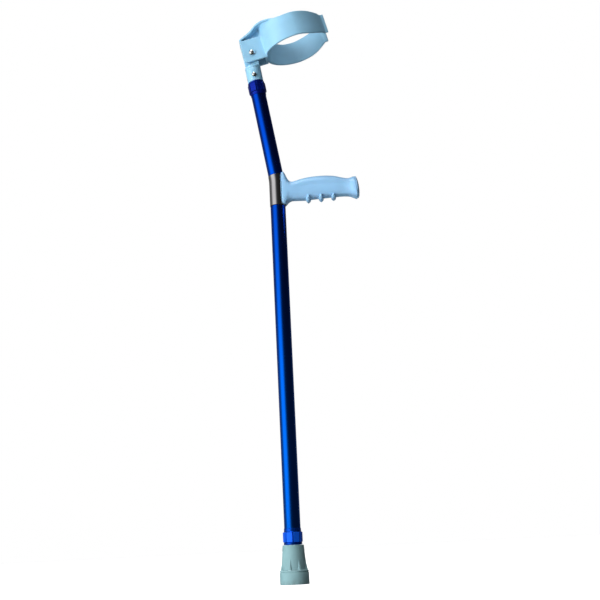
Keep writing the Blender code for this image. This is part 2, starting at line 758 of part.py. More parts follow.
def make_fasteners(neck, pivot):
    stem_face = STEM_R + GAP
    screw_place = at_height(STEM_SCREW_REACH) @ TO_BACK
    screw = dome_bolt(SCREW_R, 0.0045, stem_face, stem_face + 0.0040)
    add_piece("stem_screw", screw, "fastener_steel", neck, screw_place)
    nut = hex_nut(SCREW_R + 2 * GAP, 0.0092, stem_face, stem_face + 0.0036)
    add_piece("stem_nut", nut, "fastener_steel", neck, screw_place)
    fork_face = FORK_HALF_Y + GAP
    bolt = dome_bolt(PIVOT_R, 0.00525, fork_face, fork_face + 0.0044)
    add_piece("cuff_pivot_bolt", bolt, "fastener_steel", pivot, TO_BACK)
    nut = hex_nut(PIVOT_R + 2 * GAP, 0.0112, fork_face, fork_face + 0.0040)
    add_piece("cuff_pivot_nut", nut, "fastener_steel", pivot, TO_BACK)
    near, far = TONGUE_HALF_Y + GAP, FORK_INSIDE_Y - GAP
    for name, foot, head in (("left", near, far), ("right", -far, -near)):
        washer = sleeve(PIVOT_R + GAP, PIVOT_WASHER_R, foot, head)
        add_piece(f"cuff_pivot_washer_{name}", washer, "nylon", pivot, TO_BACK)


# Cuff

def smooth_step(value):
    t = min(max(value, 0.0), 1.0)
    return t * t * (3 - 2 * t)


def cuff_edges(angle):
    """Heights of the cuff's lower and upper edges; the angle is zero at its back."""
    back = smooth_step((BACK_RISE_END - angle) / BACK_RISE_SPAN)
    front = smooth_step((angle - FRONT_RISE_START) / FRONT_RISE_SPAN)
    foot = CUFF_FOOT_C + (CUFF_FRONT_FOOT_C - CUFF_FOOT_C) * front
    return foot, CUFF_TOP_C + (CUFF_BACK_TOP_C - CUFF_TOP_C) * back


def cuff_half_path():
    """One side of the cuff's outside, from the middle of its back to a lip: (u, y, angle)."""
    path = []
    for i in range(CUFF_STEPS + 1):
        a = CUFF_MOUTH_ANGLE * i / CUFF_STEPS
        across, along = math.sin(a), -math.cos(a)
        if along > 0:
            across, along = across**CUFF_FRONT_POWER, along**CUFF_FRONT_POWER
        path.append((CUFF_CENTRE_U + CUFF_SEMI_U * along, CUFF_SEMI_Y * across, a))
    return path + [(u, y, math.pi) for u, y in LIP_POINTS]


def cuff_band():
    """The open ring that holds the forearm, a little wider at its top."""
    half = cuff_half_path()
    path = [(u, -y, a) for u, y, a in half[:0:-1]] + half
    rows = []
    for i, (u, y, a) in enumerate(path):
        before = Vector(path[max(i - 1, 0)][:2])
        after = Vector(path[min(i + 1, len(path) - 1)][:2])
        along = (after - before).normalized()
        outer = Vector((u, y))
        inner = outer + Vector((along.y, -along.x)) * CUFF_WALL
        foot, top = cuff_edges(a)
        ends = ((outer, foot), (outer, top), (inner, top), (inner, foot))
        rows.append([Vector((point.x, point.y * cuff_draft(c), c)) for point, c in ends])
    return capped_body(rows)


def cuff_draft(height):
    """How much wider the cuff is at a height than at the middle of its band."""
    middle = (CUFF_FOOT_C + CUFF_TOP_C) / 2
    return 1 + CUFF_DRAFT * (height - middle) / (CUFF_TOP_C - middle)


def fork_outline():
    """Side view of the fork: a rounded lower back corner and a sloping top edge."""
    corner_u = FORK_BACK_U + FORK_CORNER_R
    corner_c = FORK_FOOT_C + FORK_CORNER_R
    arc = [math.pi * (1 + i / 12) for i in range(7)]
    corner = [(corner_u + FORK_CORNER_R * math.cos(a), corner_c + FORK_CORNER_R * math.sin(a)) for a in arc]
    return [*corner, (FORK_FRONT_U, FORK_FOOT_C), *FORK_TOP]


def hood():
    """The roof behind the forearm, widening from the fork's back to the cuff's raised back."""
    rows = []
    for u, top, half_y, depth in HOOD_STATIONS:
        foot = top - depth
        corners = ((-half_y, foot), (half_y, foot), (half_y, top), (-half_y, top))
        rows.append([Vector((u, y, c)) for y, c in corners])
    return capped_body(rows)


def arm_space():
    """An oval in the middle of the cuff's wall, which trims the fork and hood where they meet it."""
    semi_u, semi_y = CUFF_SEMI_U - CUFF_WALL / 2, CUFF_SEMI_Y - CUFF_WALL / 2
    rows = []
    for c in (-0.04, 0.07):
        loop = circle(1.0, c, 2 * CUFF_STEPS)
        width = semi_y * cuff_draft(c)
        rows.append([Vector((CUFF_CENTRE_U + p.x * semi_u, p.y * width, c)) for p in loop])
    return capped_body(rows)


def make_cuff(pivot):
    cuff = add_piece("cuff", slab(fork_outline(), FORK_HALF_Y), "cuff_plastic", pivot)
    front_u = CUFF_CENTRE_U - CUFF_SEMI_U - 0.0005
    join(cuff, "web_guide", slab(WEB_FOOT + WEB_TOP, WEB_HALF_Y))
    join(cuff, "hood_guide", hood())
    inside = box((FORK_WALL_U, -FORK_INSIDE_Y, -0.03), (front_u, FORK_INSIDE_Y, FORK_FLOOR_C))
    cut(cuff, "fork_inside_cutter", inside)
    swing = box((-0.03, 0.0001 - FORK_INSIDE_Y, -0.03), (0.0, FORK_INSIDE_Y - 0.0001, 0.006))
    cut(cuff, "stem_swing_cutter", swing)
    cut(cuff, "fork_pivot_cutter", rod(PIVOT_R + GAP, -0.02, 0.02, SIDES), TO_BACK)
    cut(cuff, "arm_cutter", arm_space())
    join(cuff, "band_guide", cuff_band())


def clear_scene():
    for thing in list(bpy.data.objects):
        bpy.data.objects.remove(thing, do_unlink=True)


def main():
    clear_scene()
    neck = add_frame("neck_frame", tube_frame(MAIN_HEAD) @ at_height(-MAIN_HEAD))
    pivot = add_frame("cuff_pivot_frame", pivot_frame())
    make_main_tube()
    make_leg_tube()
    make_cuff_tube(neck)
    make_locks(neck)
    make_ferrule()
    make_strap()
    make_rivets()
    make_core()
    make_grip()
    make_grip_end()
    make_arm_stem(neck)
    make_fasteners(neck, pivot)
    make_cuff(pivot)


main()
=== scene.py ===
import json
import math

import bpy
from mathutils import Matrix, Vector


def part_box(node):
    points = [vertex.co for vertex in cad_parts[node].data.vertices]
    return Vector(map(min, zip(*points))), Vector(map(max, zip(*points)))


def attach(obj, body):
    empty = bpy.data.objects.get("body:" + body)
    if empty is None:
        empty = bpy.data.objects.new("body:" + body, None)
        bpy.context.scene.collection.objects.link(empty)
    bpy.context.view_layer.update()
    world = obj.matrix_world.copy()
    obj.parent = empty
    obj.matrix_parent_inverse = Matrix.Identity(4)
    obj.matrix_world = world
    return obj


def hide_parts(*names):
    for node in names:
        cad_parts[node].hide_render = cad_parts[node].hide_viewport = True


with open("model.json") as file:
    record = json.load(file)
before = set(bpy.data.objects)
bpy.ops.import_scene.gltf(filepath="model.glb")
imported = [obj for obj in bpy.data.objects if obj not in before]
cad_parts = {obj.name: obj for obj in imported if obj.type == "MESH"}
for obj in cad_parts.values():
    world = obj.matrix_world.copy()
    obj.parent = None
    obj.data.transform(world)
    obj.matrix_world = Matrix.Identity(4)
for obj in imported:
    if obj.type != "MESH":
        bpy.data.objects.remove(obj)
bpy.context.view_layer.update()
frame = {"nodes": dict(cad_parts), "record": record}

# Places that the frame gives. A "reach" is a distance up the neck from the bend's corner.
JOINTS = {joint["name"]: joint for joint in frame["record"]["behaviour"]["joints"]}
NECK_AXIS = Vector(JOINTS["cuff_height"]["axis"])
NECK_TOP = Vector(JOINTS["cuff_collar_turn"]["pos_m"])
PIVOT = Vector(JOINTS["cuff_pivot"]["pos_m"])
BEND_ANGLE = math.atan2(-NECK_AXIS.x, NECK_AXIS.z)
BEND = NECK_TOP - NECK_AXIS * (NECK_TOP.x / NECK_AXIS.x)
MAIN_FOOT_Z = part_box("main_tube")[0][2]
MAIN_HEAD = (NECK_TOP - BEND).length
MAIN_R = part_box("main_tube")[1][1]
INNER_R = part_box("leg_tube")[1][1]
LEG_FOOT_Z, LEG_HEAD_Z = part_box("leg_tube")[0][2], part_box("leg_tube")[1][2]
LEG_BUTTON_Z = (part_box("leg_button")[0][2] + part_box("leg_button")[1][2]) / 2
COLLAR_FOOT_Z, COLLAR_TOP_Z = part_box("leg_lock_collar")[0][2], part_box("leg_lock_collar")[1][2]
COLLAR_LENGTH = COLLAR_TOP_Z - COLLAR_FOOT_Z
COLLAR_HEAD = MAIN_HEAD + MAIN_FOOT_Z - COLLAR_FOOT_Z
FERRULE_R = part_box("ferrule")[1][1]
FERRULE_TOP_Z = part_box("ferrule")[1][2]
GRIP_Z = (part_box("handle_core")[0][2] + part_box("handle_core")[1][2]) / 2

# Sizes of the fine shapes, in metres
GAP = 0.0003
WALL = 0.0012
TUBE_SIDES = 96
FINE_SIDES = 64
HOLE_SIDES = 32
BEND_RADIUS = 0.09
SMOOTH_ANGLE = math.radians(32)
HOLE_R = 0.0038
LEG_HOLES, LEG_HOLE_PITCH = 13, 0.025
CUFF_HOLES, CUFF_HOLE_PITCH = 7, 0.0125
CUFF_BUTTON_REACH = 0.060
STRAP_FOOT, STRAP_HEAD = -0.0460, 0.0079
STRAP_R, STRAP_BORE_R = 0.0130, 0.0122
SEAT_R = 0.0119
RIVET_REACHES = {"strap_rivet_lower": -0.0365, "strap_rivet_upper": -0.0045}
RIVET_HOLE_R = 0.0022
DRILL_START, DRILL_END, DRILL_THROUGH = 0.005, 0.020, 0.02
CORE_R = 0.0060
SADDLE_R = STRAP_R + GAP
STEM_R, STEM_FOOT, STEM_HEAD = 0.0134, 0.1805, 0.2095
STEM_SCREW_REACH = 0.1903
CUFF_TUBE_FOOT, CUFF_TUBE_HEAD = 0.040, 0.205
PIVOT_REACH, PIVOT_FORWARD = 0.2308, 0.0038
PIVOT_HOLE_R = 0.0034
TONGUE_R, TONGUE_HALF_Y = 0.0085, 0.0085
CUFF_TILT = math.radians(14.5)

TO_BACK = Matrix.Rotation(-math.pi / 2, 4, "X")
TO_FRONT = Matrix.Rotation(math.pi / 2, 4, "Y")
NECK = Matrix.Translation(BEND) @ Matrix.Rotation(-BEND_ANGLE, 4, "Y")
CUFF = Matrix.Translation(PIVOT) @ Matrix.Rotation(-CUFF_TILT, 4, "Y")


def at_height(height):
    return Matrix.Translation((0.0, 0.0, height))


def smooth_step(value):
    t = min(max(value, 0.0), 1.0)
    return t * t * (3 - 2 * t)


def spline(table, x):
    """A smooth curve through (x, value) points, level beyond its ends."""
    if x <= table[0][0]:
        return table[0][1]
    if x >= table[-1][0]:
        return table[-1][1]
    i = max(k for k in range(len(table) - 1) if table[k][0] <= x)
    slopes = []
    for k in (i, i + 1):
        low, high = table[max(k - 1, 0)], table[min(k + 1, len(table) - 1)]
        slopes.append((high[1] - low[1]) / (high[0] - low[0]))
    (x0, y0), (x1, y1) = table[i], table[i + 1]
    span = x1 - x0
    t = (x - x0) / span
    blend = t * t * (3 - 2 * t)
    bow = t * (1 - t)
    return y0 + (y1 - y0) * blend + span * bow * ((1 - t) * slopes[0] - t * slopes[1])


# Meshes

def circle(radius, height, sides):
    steps = [2 * math.pi * i / sides for i in range(sides)]
    return [Vector((radius * math.cos(a), radius * math.sin(a), height)) for a in steps]


def loft_mesh(name, rows, ring=False):
    """Quads between rows of equal length; the end rows are capped, or joined to each other in a ring."""
    count = len(rows[0])
    points = [point for row in rows for point in row]
    faces = []
    steps = len(rows) if ring else len(rows) - 1
    for r in range(steps):
        low, high = r * count, (r + 1) % len(rows) * count
        for i in range(count):
            j = (i + 1) % count
            faces.append((low + i, low + j, high + j, high + i))
    if not ring:
        faces.append(tuple(reversed(range(count))))
        faces.append(tuple(range(len(points) - count, len(points))))
    mesh = bpy.data.meshes.new(name)
    mesh.from_pydata(points, [], faces)
    return mesh


def shade(mesh):
    mesh.shade_smooth()
    mesh.set_sharp_from_angle(angle=SMOOTH_ANGLE)


def add_object(name, rows, ring=False, place=None, flip=False):
    """A loft as an object in the scene, moved to its place and shaded smooth."""
    mesh = loft_mesh(name, rows, ring)
    if place is not None:
        mesh.transform(place)
    if flip:
        mesh.flip_normals()
    shade(mesh)
    thing = bpy.data.objects.new(name, mesh)
    bpy.context.scene.collection.objects.link(thing)
    return thing


def turned(name, profile, sides=FINE_SIDES, ring=False, place=None):
    """A profile of (radius, height) points, outer side going up, turned about Z."""
    return add_object(name, [circle(r, z, sides) for r, z in profile], ring, place)


def rod(name, radius, foot, head, sides=HOLE_SIDES, place=None):
    return turned(name, ((radius, foot), (radius, head)), sides, False, place)


def slab(name, outline, half_y, place=None):
    """An outline of (x, z) points, anticlockwise seen from the front, extruded along Y."""
    rows = [[Vector((x, y, z)) for x, z in outline] for y in (half_y, -half_y)]
    return add_object(name, rows, False, place)


def apply_modifiers(piece):
    graph = bpy.context.evaluated_depsgraph_get()
    mesh = bpy.data.meshes.new_from_object(piece.evaluated_get(graph))
    old = piece.data
    piece.modifiers.clear()
    piece.data = mesh
    bpy.data.meshes.remove(old)
    return piece


def combine(piece, operation, tools):
    """Join the tools to a piece or cut them from it, then drop them."""
    for tool in tools:
        modifier = piece.modifiers.new(tool.name, "BOOLEAN")
        modifier.operation = operation
        modifier.solver = "EXACT"
        modifier.object = tool
    apply_modifiers(piece)
    for tool in tools:
        bpy.data.objects.remove(tool, do_unlink=True)
    shade(piece.data)
    return piece


def mould(piece, voxel, rounds):
    """Turn joined shapes into one moulding with soft edges and fillets."""
    remesh = piece.modifiers.new("skin", "REMESH")
    remesh.mode = "VOXEL"
    remesh.voxel_size = voxel
    soften = piece.modifiers.new("soften", "SMOOTH")
    soften.factor = 0.5
    soften.iterations = rounds
    apply_modifiers(piece)
    piece.data.shade_smooth()
    return piece


def dress(piece, body, slot, *nodes):
    """Give a piece its slot's finish, its body, and the CAD nodes that it stands for."""
    piece.data.materials.clear()
    piece.data.materials.append(FINISHES[slot])
    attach(piece, body)
    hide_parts(*nodes)


# Materials

class Recipe:
    """A Principled material under construction."""

    def __init__(self, name, **constants):
        self.material = bpy.data.materials.new(name)
        self.material.use_nodes = True
        self.tree = self.material.node_tree
        self.shader = self.tree.nodes["Principled BSDF"]
        for socket, value in constants.items():
            self.shader.inputs[socket.replace("_", " ")].default_value = value
        self.coordinates = self.add("ShaderNodeTexCoord").outputs["Object"]

    def add(self, kind, inputs=None, **settings):
        node = self.tree.nodes.new(kind)
        for name, value in settings.items():
            setattr(node, name, value)
        for socket, value in (inputs or {}).items():
            self.feed(node.inputs[socket], value)
        return node

    def feed(self, socket, value):
        if isinstance(value, bpy.types.NodeSocket):
            self.tree.links.new(value, socket)
        else:
            socket.default_value = value

    def noise(self, scale, stretch=(1, 1, 1), detail=3.0, roughness=0.55):
        """Noise with its grain drawn out where stretch is small; scale is cells to a metre."""
        size = self.add("ShaderNodeMapping", {"Vector": self.coordinates, "Scale": stretch})
        inputs = {"Vector": size.outputs[0], "Scale": scale, "Detail": detail, "Roughness": roughness}
        return self.add("ShaderNodeTexNoise", inputs).outputs["Fac"]

    def ramp(self, value, low, high, start=0.0, end=1.0):
        """Value from low to high, mapped to start to end."""
        inputs = {"Value": value, "From Min": low, "From Max": high, "To Min": start, "To Max": end}
        return self.add("ShaderNodeMapRange", inputs, interpolation_type="SMOOTHSTEP").outputs[0]

    def mix(self, share, first, second):
        node = self.add("ShaderNodeMix", data_type="RGBA")
        self.feed(node.inputs["Factor"], share)
        for socket, value in ((node.inputs[6], first), (node.inputs[7], second)):
            self.feed(socket, (*value, 1.0) if isinstance(value, tuple) else value)
        return node.outputs[2]

    def edges(self, low, high):
        """Where the surface turns sharply outward, from 0 to 1."""
        return self.ramp(self.add("ShaderNodeNewGeometry").outputs["Pointiness"], low, high)

    def times(self, first, second):
        return self.add("ShaderNodeMath", {0: first, 1: second}, operation="MULTIPLY").outputs[0]

    def bump(self, height, strength, distance, normal=None):
        inputs = {"Height": height, "Strength": strength, "Distance": distance}
        if normal is not None:
            inputs["Normal"] = normal
        return self.add("ShaderNodeBump", inputs).outputs[0]

    def finish(self, colour=None, roughness=None, normal=None):
        for socket, value in (("Base Color", colour), ("Roughness", roughness), ("Normal", normal)):
            if value is not None:
                self.feed(self.shader.inputs[socket], value)
        return self.material


def anodised_blue():
    """Deep blue anodising over drawn tube: long fine draw lines and a few rubbed places."""
    r = Recipe("anodised_blue_finish", Metallic=1.0)
    cloud = r.noise(14, (1, 1, 0.25), 4)
    lines = r.noise(900, (1, 1, 0.012), 2)
    rub = r.ramp(r.noise(120, (1, 1, 0.18), 6, 0.7), 0.62, 0.80)
    height = r.add("ShaderNodeSeparateXYZ", {"Vector": r.coordinates}).outputs["Z"]
    colour = r.mix(r.ramp(cloud, 0.35, 0.65), (0.0008, 0.068, 0.66), (0.0014, 0.084, 0.74))
    # Painted light: towards the bottom the blue is painted greener and lighter, standing in for the brighter
    # reflection low down
    colour = r.mix(r.ramp(height, 0.15, 0.80, 0.8, 0.0), colour, (0.0010, 0.125, 0.74))
    colour = r.mix(r.times(rub, 0.25), colour, (0.03, 0.16, 0.78))
    rough = r.ramp(lines, 0.3, 0.7, 0.17, 0.25)
    return r.finish(colour, rough, r.bump(lines, 0.10, 0.00003))


def drawn_aluminium():
    """Bare aluminium tube, brushed lengthways."""
    r = Recipe("drawn_aluminium_finish", Metallic=1.0)
    lines = r.noise(1100, (1, 1, 0.01), 3)
    smudge = r.noise(35, (1, 1, 0.4), 5, 0.65)
    colour = r.mix(r.ramp(smudge, 0.4, 0.7), (0.80, 0.81, 0.83), (0.66, 0.67, 0.70))
    return r.finish(colour, r.ramp(lines, 0.3, 0.7, 0.24, 0.38), r.bump(lines, 0.18, 0.00004))


def glossy_blue():
    """Blue metallic collars: frosted pads painted lighter as painted light, and one collar painted a deep
    navy as painted shade.
    """
    r = Recipe("glossy_blue_finish")
    frost_and_light = r.add("ShaderNodeAttribute", attribute_name="frost_and_light").outputs["Fac"]
    cloud = r.noise(60, detail=4)
    fine = r.noise(2600, detail=2)
    colour = r.mix(r.ramp(cloud, 0.35, 0.7), (0.001, 0.070, 0.60), (0.002, 0.090, 0.72))
    # Painted light: the pads are painted a brighter blue by their share, in full on the lower collar
    colour = r.mix(r.times(frost_and_light, 0.9), colour, (0.002, 0.135, 0.98))
    painted_navy_shade = r.add("ShaderNodeAttribute", attribute_name="painted_navy_shade").outputs["Fac"]
    # Painted shade: a collar marked by this attribute is painted a deep navy all over and made a little less
    # metallic
    colour = r.mix(r.times(painted_navy_shade, 0.85), colour, (0.0008, 0.009, 0.30))
    colour = r.mix(r.times(r.edges(0.52, 0.60), 0.4), colour, (0.05, 0.24, 0.85))
    metal = {0: r.ramp(frost_and_light, 0.0, 1.0, 0.92, 0.45), 1: r.times(painted_navy_shade, 0.12)}
    r.feed(r.shader.inputs["Metallic"], r.add("ShaderNodeMath", metal, operation="SUBTRACT").outputs[0])
    rough = r.add("ShaderNodeMath", {0: r.ramp(frost_and_light, 0.0, 1.0, 0.20, 0.42), 1: r.times(cloud, 0.12)})
    return r.finish(colour, rough.outputs[0], r.bump(fine, 0.08, 0.00005))


def pale_plastic(name, pale, deep, worn):
    """Moulded plastic with a fine spark-eroded grain, faint flow marks and rubbed edges."""
    r = Recipe(name, Specular_IOR_Level=0.5, Subsurface_Weight=0.04, Subsurface_Scale=0.004)
    flow = r.noise(18, (1, 1, 1.6), 4, 0.6)
    grain = r.noise(3400, detail=2)
    scuff = r.ramp(r.noise(210, (0.35, 1, 1), 5, 0.7), 0.60, 0.78)
    colour = r.mix(r.ramp(flow, 0.35, 0.68), pale, deep)
    colour = r.mix(r.times(r.edges(0.52, 0.62), 0.6), colour, worn)
    rough = r.add("ShaderNodeMath", {0: r.ramp(flow, 0.3, 0.7, 0.30, 0.38), 1: r.times(scuff, 0.14)})
    normal = r.bump(scuff, 0.05, 0.00008, r.bump(grain, 0.16, 0.00006))
    return r.finish(colour, rough.outputs[0], normal)


def grey_rubber():
    """Grey rubber: matt, dusty in places and grimed towards the tread."""
    r = Recipe("grey_rubber_finish", Specular_IOR_Level=0.35)
    height = r.add("ShaderNodeSeparateXYZ", {"Vector": r.coordinates}).outputs["Z"]
    grime_field = r.noise(150, (1, 1, 0.5), 6, 0.7)
    low = r.ramp(height, 0.0, 0.012, 1.0, 0.0)
    grime = r.times(low, r.ramp(grime_field, 0.40, 0.66))
    bloom = r.ramp(r.noise(45, detail=5), 0.40, 0.70)
    colour = r.mix(bloom, (0.205, 0.352, 0.380), (0.232, 0.396, 0.424))
    colour = r.mix(r.times(r.edges(0.52, 0.60), 0.5), colour, (0.44, 0.62, 0.66))
    colour = r.mix(r.times(grime, 0.35), colour, (0.075, 0.085, 0.08))
    grain = r.bump(r.noise(2200, detail=3), 0.35, 0.00008)
    return r.finish(colour, r.ramp(bloom, 0.0, 1.0, 0.48, 0.62), grain)


def polished_steel():
    """Chrome-bright steel with hairline scratches and finger smears."""
    r = Recipe("polished_steel_finish", Metallic=1.0)
    smear = r.ramp(r.noise(70, (1, 1, 0.5), 5, 0.65), 0.45, 0.75)
    hairs = r.noise(1500, (1, 1, 0.03), 2)
    colour = r.mix(smear, (0.50, 0.49, 0.50), (0.42, 0.41, 0.42))
    rough = r.add("ShaderNodeMath", {0: r.times(smear, 0.07), 1: 0.045}).outputs[0]
    return r.finish(colour, rough, r.bump(hairs, 0.05, 0.00002))


def nickel_steel():
    """Nickel-plated fasteners, lightly speckled."""
    r = Recipe("nickel_steel_finish", Metallic=1.0)
    speckle = r.noise(1800, detail=3)
    tarnish = r.ramp(r.noise(260, detail=5, roughness=0.7), 0.5, 0.75)
    colour = r.mix(tarnish, (0.86, 0.86, 0.87), (0.62, 0.61, 0.60))
    return r.finish(colour, r.ramp(speckle, 0.3, 0.7, 0.13, 0.24), r.bump(speckle, 0.12, 0.00004))


def white_nylon():
    """Milky nylon with a faint mottle."""
    r = Recipe("white_nylon_finish", Subsurface_Weight=0.15, Subsurface_Scale=0.003)
    mottle = r.noise(220, detail=4)
    colour = r.mix(r.ramp(mottle, 0.35, 0.7), (0.80, 0.80, 0.77), (0.72, 0.72, 0.69))
    return r.finish(colour, r.ramp(mottle, 0.3, 0.7, 0.38, 0.52), r.bump(mottle, 0.1, 0.00005))


def rolled_spring_steel():
    """Dark rolled strip with lengthways mill lines."""
    r = Recipe("rolled_spring_steel_finish", Metallic=1.0)
    lines = r.noise(1600, (1, 1, 0.02), 3)
    colour = r.mix(r.ramp(lines, 0.3, 0.7), (0.42, 0.42, 0.44), (0.30, 0.30, 0.33))
    return r.finish(colour, r.ramp(lines, 0.3, 0.7, 0.25, 0.40), r.bump(lines, 0.15, 0.00004))


CUFF_COLOURS = ((0.29, 0.565, 0.77), (0.26, 0.51, 0.70), (0.50, 0.76, 0.90))
GRIP_COLOURS = ((0.295, 0.555, 0.83), (0.27, 0.51, 0.77), (0.50, 0.75, 0.93))
FINISHES = {
    "anodised_blue": anodised_blue(),
    "inner_aluminium": drawn_aluminium(),
    "collar_blue": glossy_blue(),
    "cuff_plastic": pale_plastic("cuff_plastic_finish", *CUFF_COLOURS),
    "grip_plastic": pale_plastic("grip_plastic_finish", *GRIP_COLOURS),
    "rubber_grey": grey_rubber(),
    "polished_steel": polished_steel(),
    "fastener_steel": nickel_steel(),
    "nylon": white_nylon(),
    "spring_steel": rolled_spring_steel(),
}


def dress_frame():
    """Give every CAD node its slot's finish, so that those which stay are finished too."""
    for entry in frame["record"]["subparts"]:
        node = frame["nodes"][entry["node"]]
        if not node.material_slots:
            node.data.materials.append(None)
        for place in node.material_slots:
            place.material = FINISHES[entry["material_slot"]]


# Tubes

def tube_frame(reach):
    """The section frame of the main tube: reach is measured along its centre line from the bend."""
    half = BEND_ANGLE / 2
    angle = min(max(reach / BEND_RADIUS + half, 0.0), BEND_ANGLE)
    straight = reach - (angle - half) * BEND_RADIUS
    centre = Vector((-BEND_RADIUS, 0.0, BEND.z - BEND_RADIUS * math.tan(half)))
    outward = Vector((math.cos(angle), 0.0, math.sin(angle)))
    along = Vector((-math.sin(angle), 0.0, math.cos(angle)))
    place = centre + outward * BEND_RADIUS + along * straight
    return Matrix.Translation(place) @ Matrix.Rotation(-angle, 4, "Y")


def bent_rows(stations, sides=TUBE_SIDES):
    """Circles round the main tube's centre line, from (reach, radius) stations."""
    return [[tube_frame(s) @ p for p in circle(r, 0.0, sides)] for s, r in stations]


def bend_reaches(steps=10):
    half = BEND_RADIUS * BEND_ANGLE / 2
    return [half * (2 * i / steps - 1) for i in range(steps + 1)]


def back_holes(name, reaches, radius):
    """Drills through the back wall of the main tube."""
    drills = []
    for i, reach in enumerate(reaches):
        place = tube_frame(reach) @ TO_BACK
        drills.append(rod(f"{name}_{i}", radius, DRILL_START, DRILL_END, HOLE_SIDES, place))
    return drills


def core_drill(name):
    return rod(name, CORE_R + GAP, 0.002, 0.020, HOLE_SIDES, at_height(GRIP_Z) @ TO_FRONT)


def make_main_tube():
    """One bent tube; rows close to each lock hole keep the shading clean round it."""
    leg_row = [LEG_BUTTON_Z - BEND.z - i * LEG_HOLE_PITCH for i in range(LEG_HOLES)]
    cuff_row = [CUFF_BUTTON_REACH + i * CUFF_HOLE_PITCH for i in range(CUFF_HOLES)]
    foot, head = MAIN_FOOT_Z - BEND.z, MAIN_HEAD
    seat_foot, seat_head = STRAP_FOOT - GAP, STRAP_HEAD + GAP
    margin = 1.5 * HOLE_R
    lower = sorted([s + side * margin for s in leg_row for side in (-1, 1)])
    upper = sorted([s + side * margin for s in cuff_row for side in (-1, 1)])
    outside = [(foot, MAIN_R - GAP), (foot + GAP, MAIN_R)] + [(s, MAIN_R) for s in lower]
    outside += [(seat_foot - 0.0014, MAIN_R), (seat_foot - GAP, MAIN_R - 0.0002)]
    outside += [(s, SEAT_R) for s in [seat_foot] + bend_reaches() + [seat_head]]
    outside += [(seat_head + GAP, MAIN_R - 0.0002), (seat_head + 0.0014, MAIN_R)]
    outside += [(s, MAIN_R) for s in upper] + [(head - GAP, MAIN_R), (head, MAIN_R - GAP)]
    bore = MAIN_R - WALL
    inside = [head] + upper[::-1] + bend_reaches()[::-1] + lower[::-1] + [foot]
    tube = add_object("main_tube_skin", bent_rows(outside + [(s, bore) for s in inside]), True)
    tools = back_holes("lock_hole", leg_row + cuff_row, HOLE_R)
    tools += back_holes("rivet_hole", RIVET_REACHES.values(), RIVET_HOLE_R)
    combine(tube, "DIFFERENCE", tools + [core_drill("core_hole")])
    dress(tube, "shaft", "anodised_blue", "main_tube")


def inner_tube(name, foot, head, hole_height, place=None):
    """A plain tube with a chamfered mouth at each end and its button's hole through the back."""
    bore = INNER_R - WALL
    profile = (
        (INNER_R - GAP, foot),
        (INNER_R, foot + GAP),
        (INNER_R, head - GAP),
        (INNER_R - GAP, head),
        (bore, head),
        (bore, foot),
    )
    tube = turned(name, profile, TUBE_SIDES, True)
    drill_place = at_height(hole_height) @ TO_BACK
    drill = rod(name + "_drill", HOLE_R, DRILL_START, DRILL_END, HOLE_SIDES, drill_place)
    combine(tube, "DIFFERENCE", [drill])
    if place is not None:
        tube.data.transform(place)
    return tube


def make_inner_tubes():
    leg = inner_tube("leg_tube_skin", LEG_FOOT_Z, LEG_HEAD_Z, LEG_BUTTON_Z)
    dress(leg, "leg", "inner_aluminium", "leg_tube")
    cuff = inner_tube("cuff_tube_skin", CUFF_TUBE_FOOT, CUFF_TUBE_HEAD, CUFF_BUTTON_REACH, NECK)
    screw_place = NECK @ at_height(STEM_SCREW_REACH) @ TO_BACK
    screw = rod("stem_screw_drill", 0.0026, -DRILL_THROUGH, DRILL_THROUGH, HOLE_SIDES, screw_place)
    combine(cuff, "DIFFERENCE", [screw])
    dress(cuff, "cuff_post", "inner_aluminium", "cuff_tube")


# Lock collars and buttons

PAD_COUNT = 8
PAD_PITCH = 2 * math.pi / PAD_COUNT
PAD_PHASE = math.radians(-64)
PAD_HALF_ANGLE = math.radians(20.3)
PAD_FOOT, PAD_HEAD = 0.0038, 0.0190
PAD_CORNER = 0.0014
PAD_FACE_R = 0.0143
PAD_EDGE_R = 0.0150
COLLAR_BODY_R, COLLAR_SKIRT_R, COLLAR_END_R = 0.0140, 0.0132, 0.0130
COLLAR_COLUMNS_PER_PAD = 22


def pad_rise(across, height):
    """How far a point is inside a rounded pad, from 0 outside to 1 on its face."""
    half_width = PAD_HALF_ANGLE * COLLAR_BODY_R
    half_height = (PAD_HEAD - PAD_FOOT) / 2
    dx = abs(across) - half_width + PAD_CORNER
    dz = abs(height - (PAD_FOOT + PAD_HEAD) / 2) - half_height + PAD_CORNER
    outside = math.hypot(max(dx, 0.0), max(dz, 0.0)) + min(max(dx, dz), 0.0) - PAD_CORNER
    return smooth_step(-outside / 0.0005)


def collar_body_r(height):
    """The collar under its pads: a rim, a waist and a skirt that draws in."""
    table = (
        (0.0, COLLAR_BODY_R - 0.0007),
        (0.0007, COLLAR_BODY_R),
        (PAD_FOOT - 0.0006, COLLAR_BODY_R),
        (PAD_FOOT, COLLAR_BODY_R - 0.0004),
        (PAD_HEAD, COLLAR_BODY_R - 0.0004),
        (PAD_HEAD + 0.0007, COLLAR_SKIRT_R),
        (COLLAR_LENGTH - 0.0004, COLLAR_END_R),
        (COLLAR_LENGTH, COLLAR_END_R - 0.0003),
    )
    for (z0, r0), (z1, r1) in zip(table, table[1:]):
        if z0 <= height <= z1:
            return r0 + (r1 - r0) * (height - z0) / (z1 - z0)
    return table[-1][1]


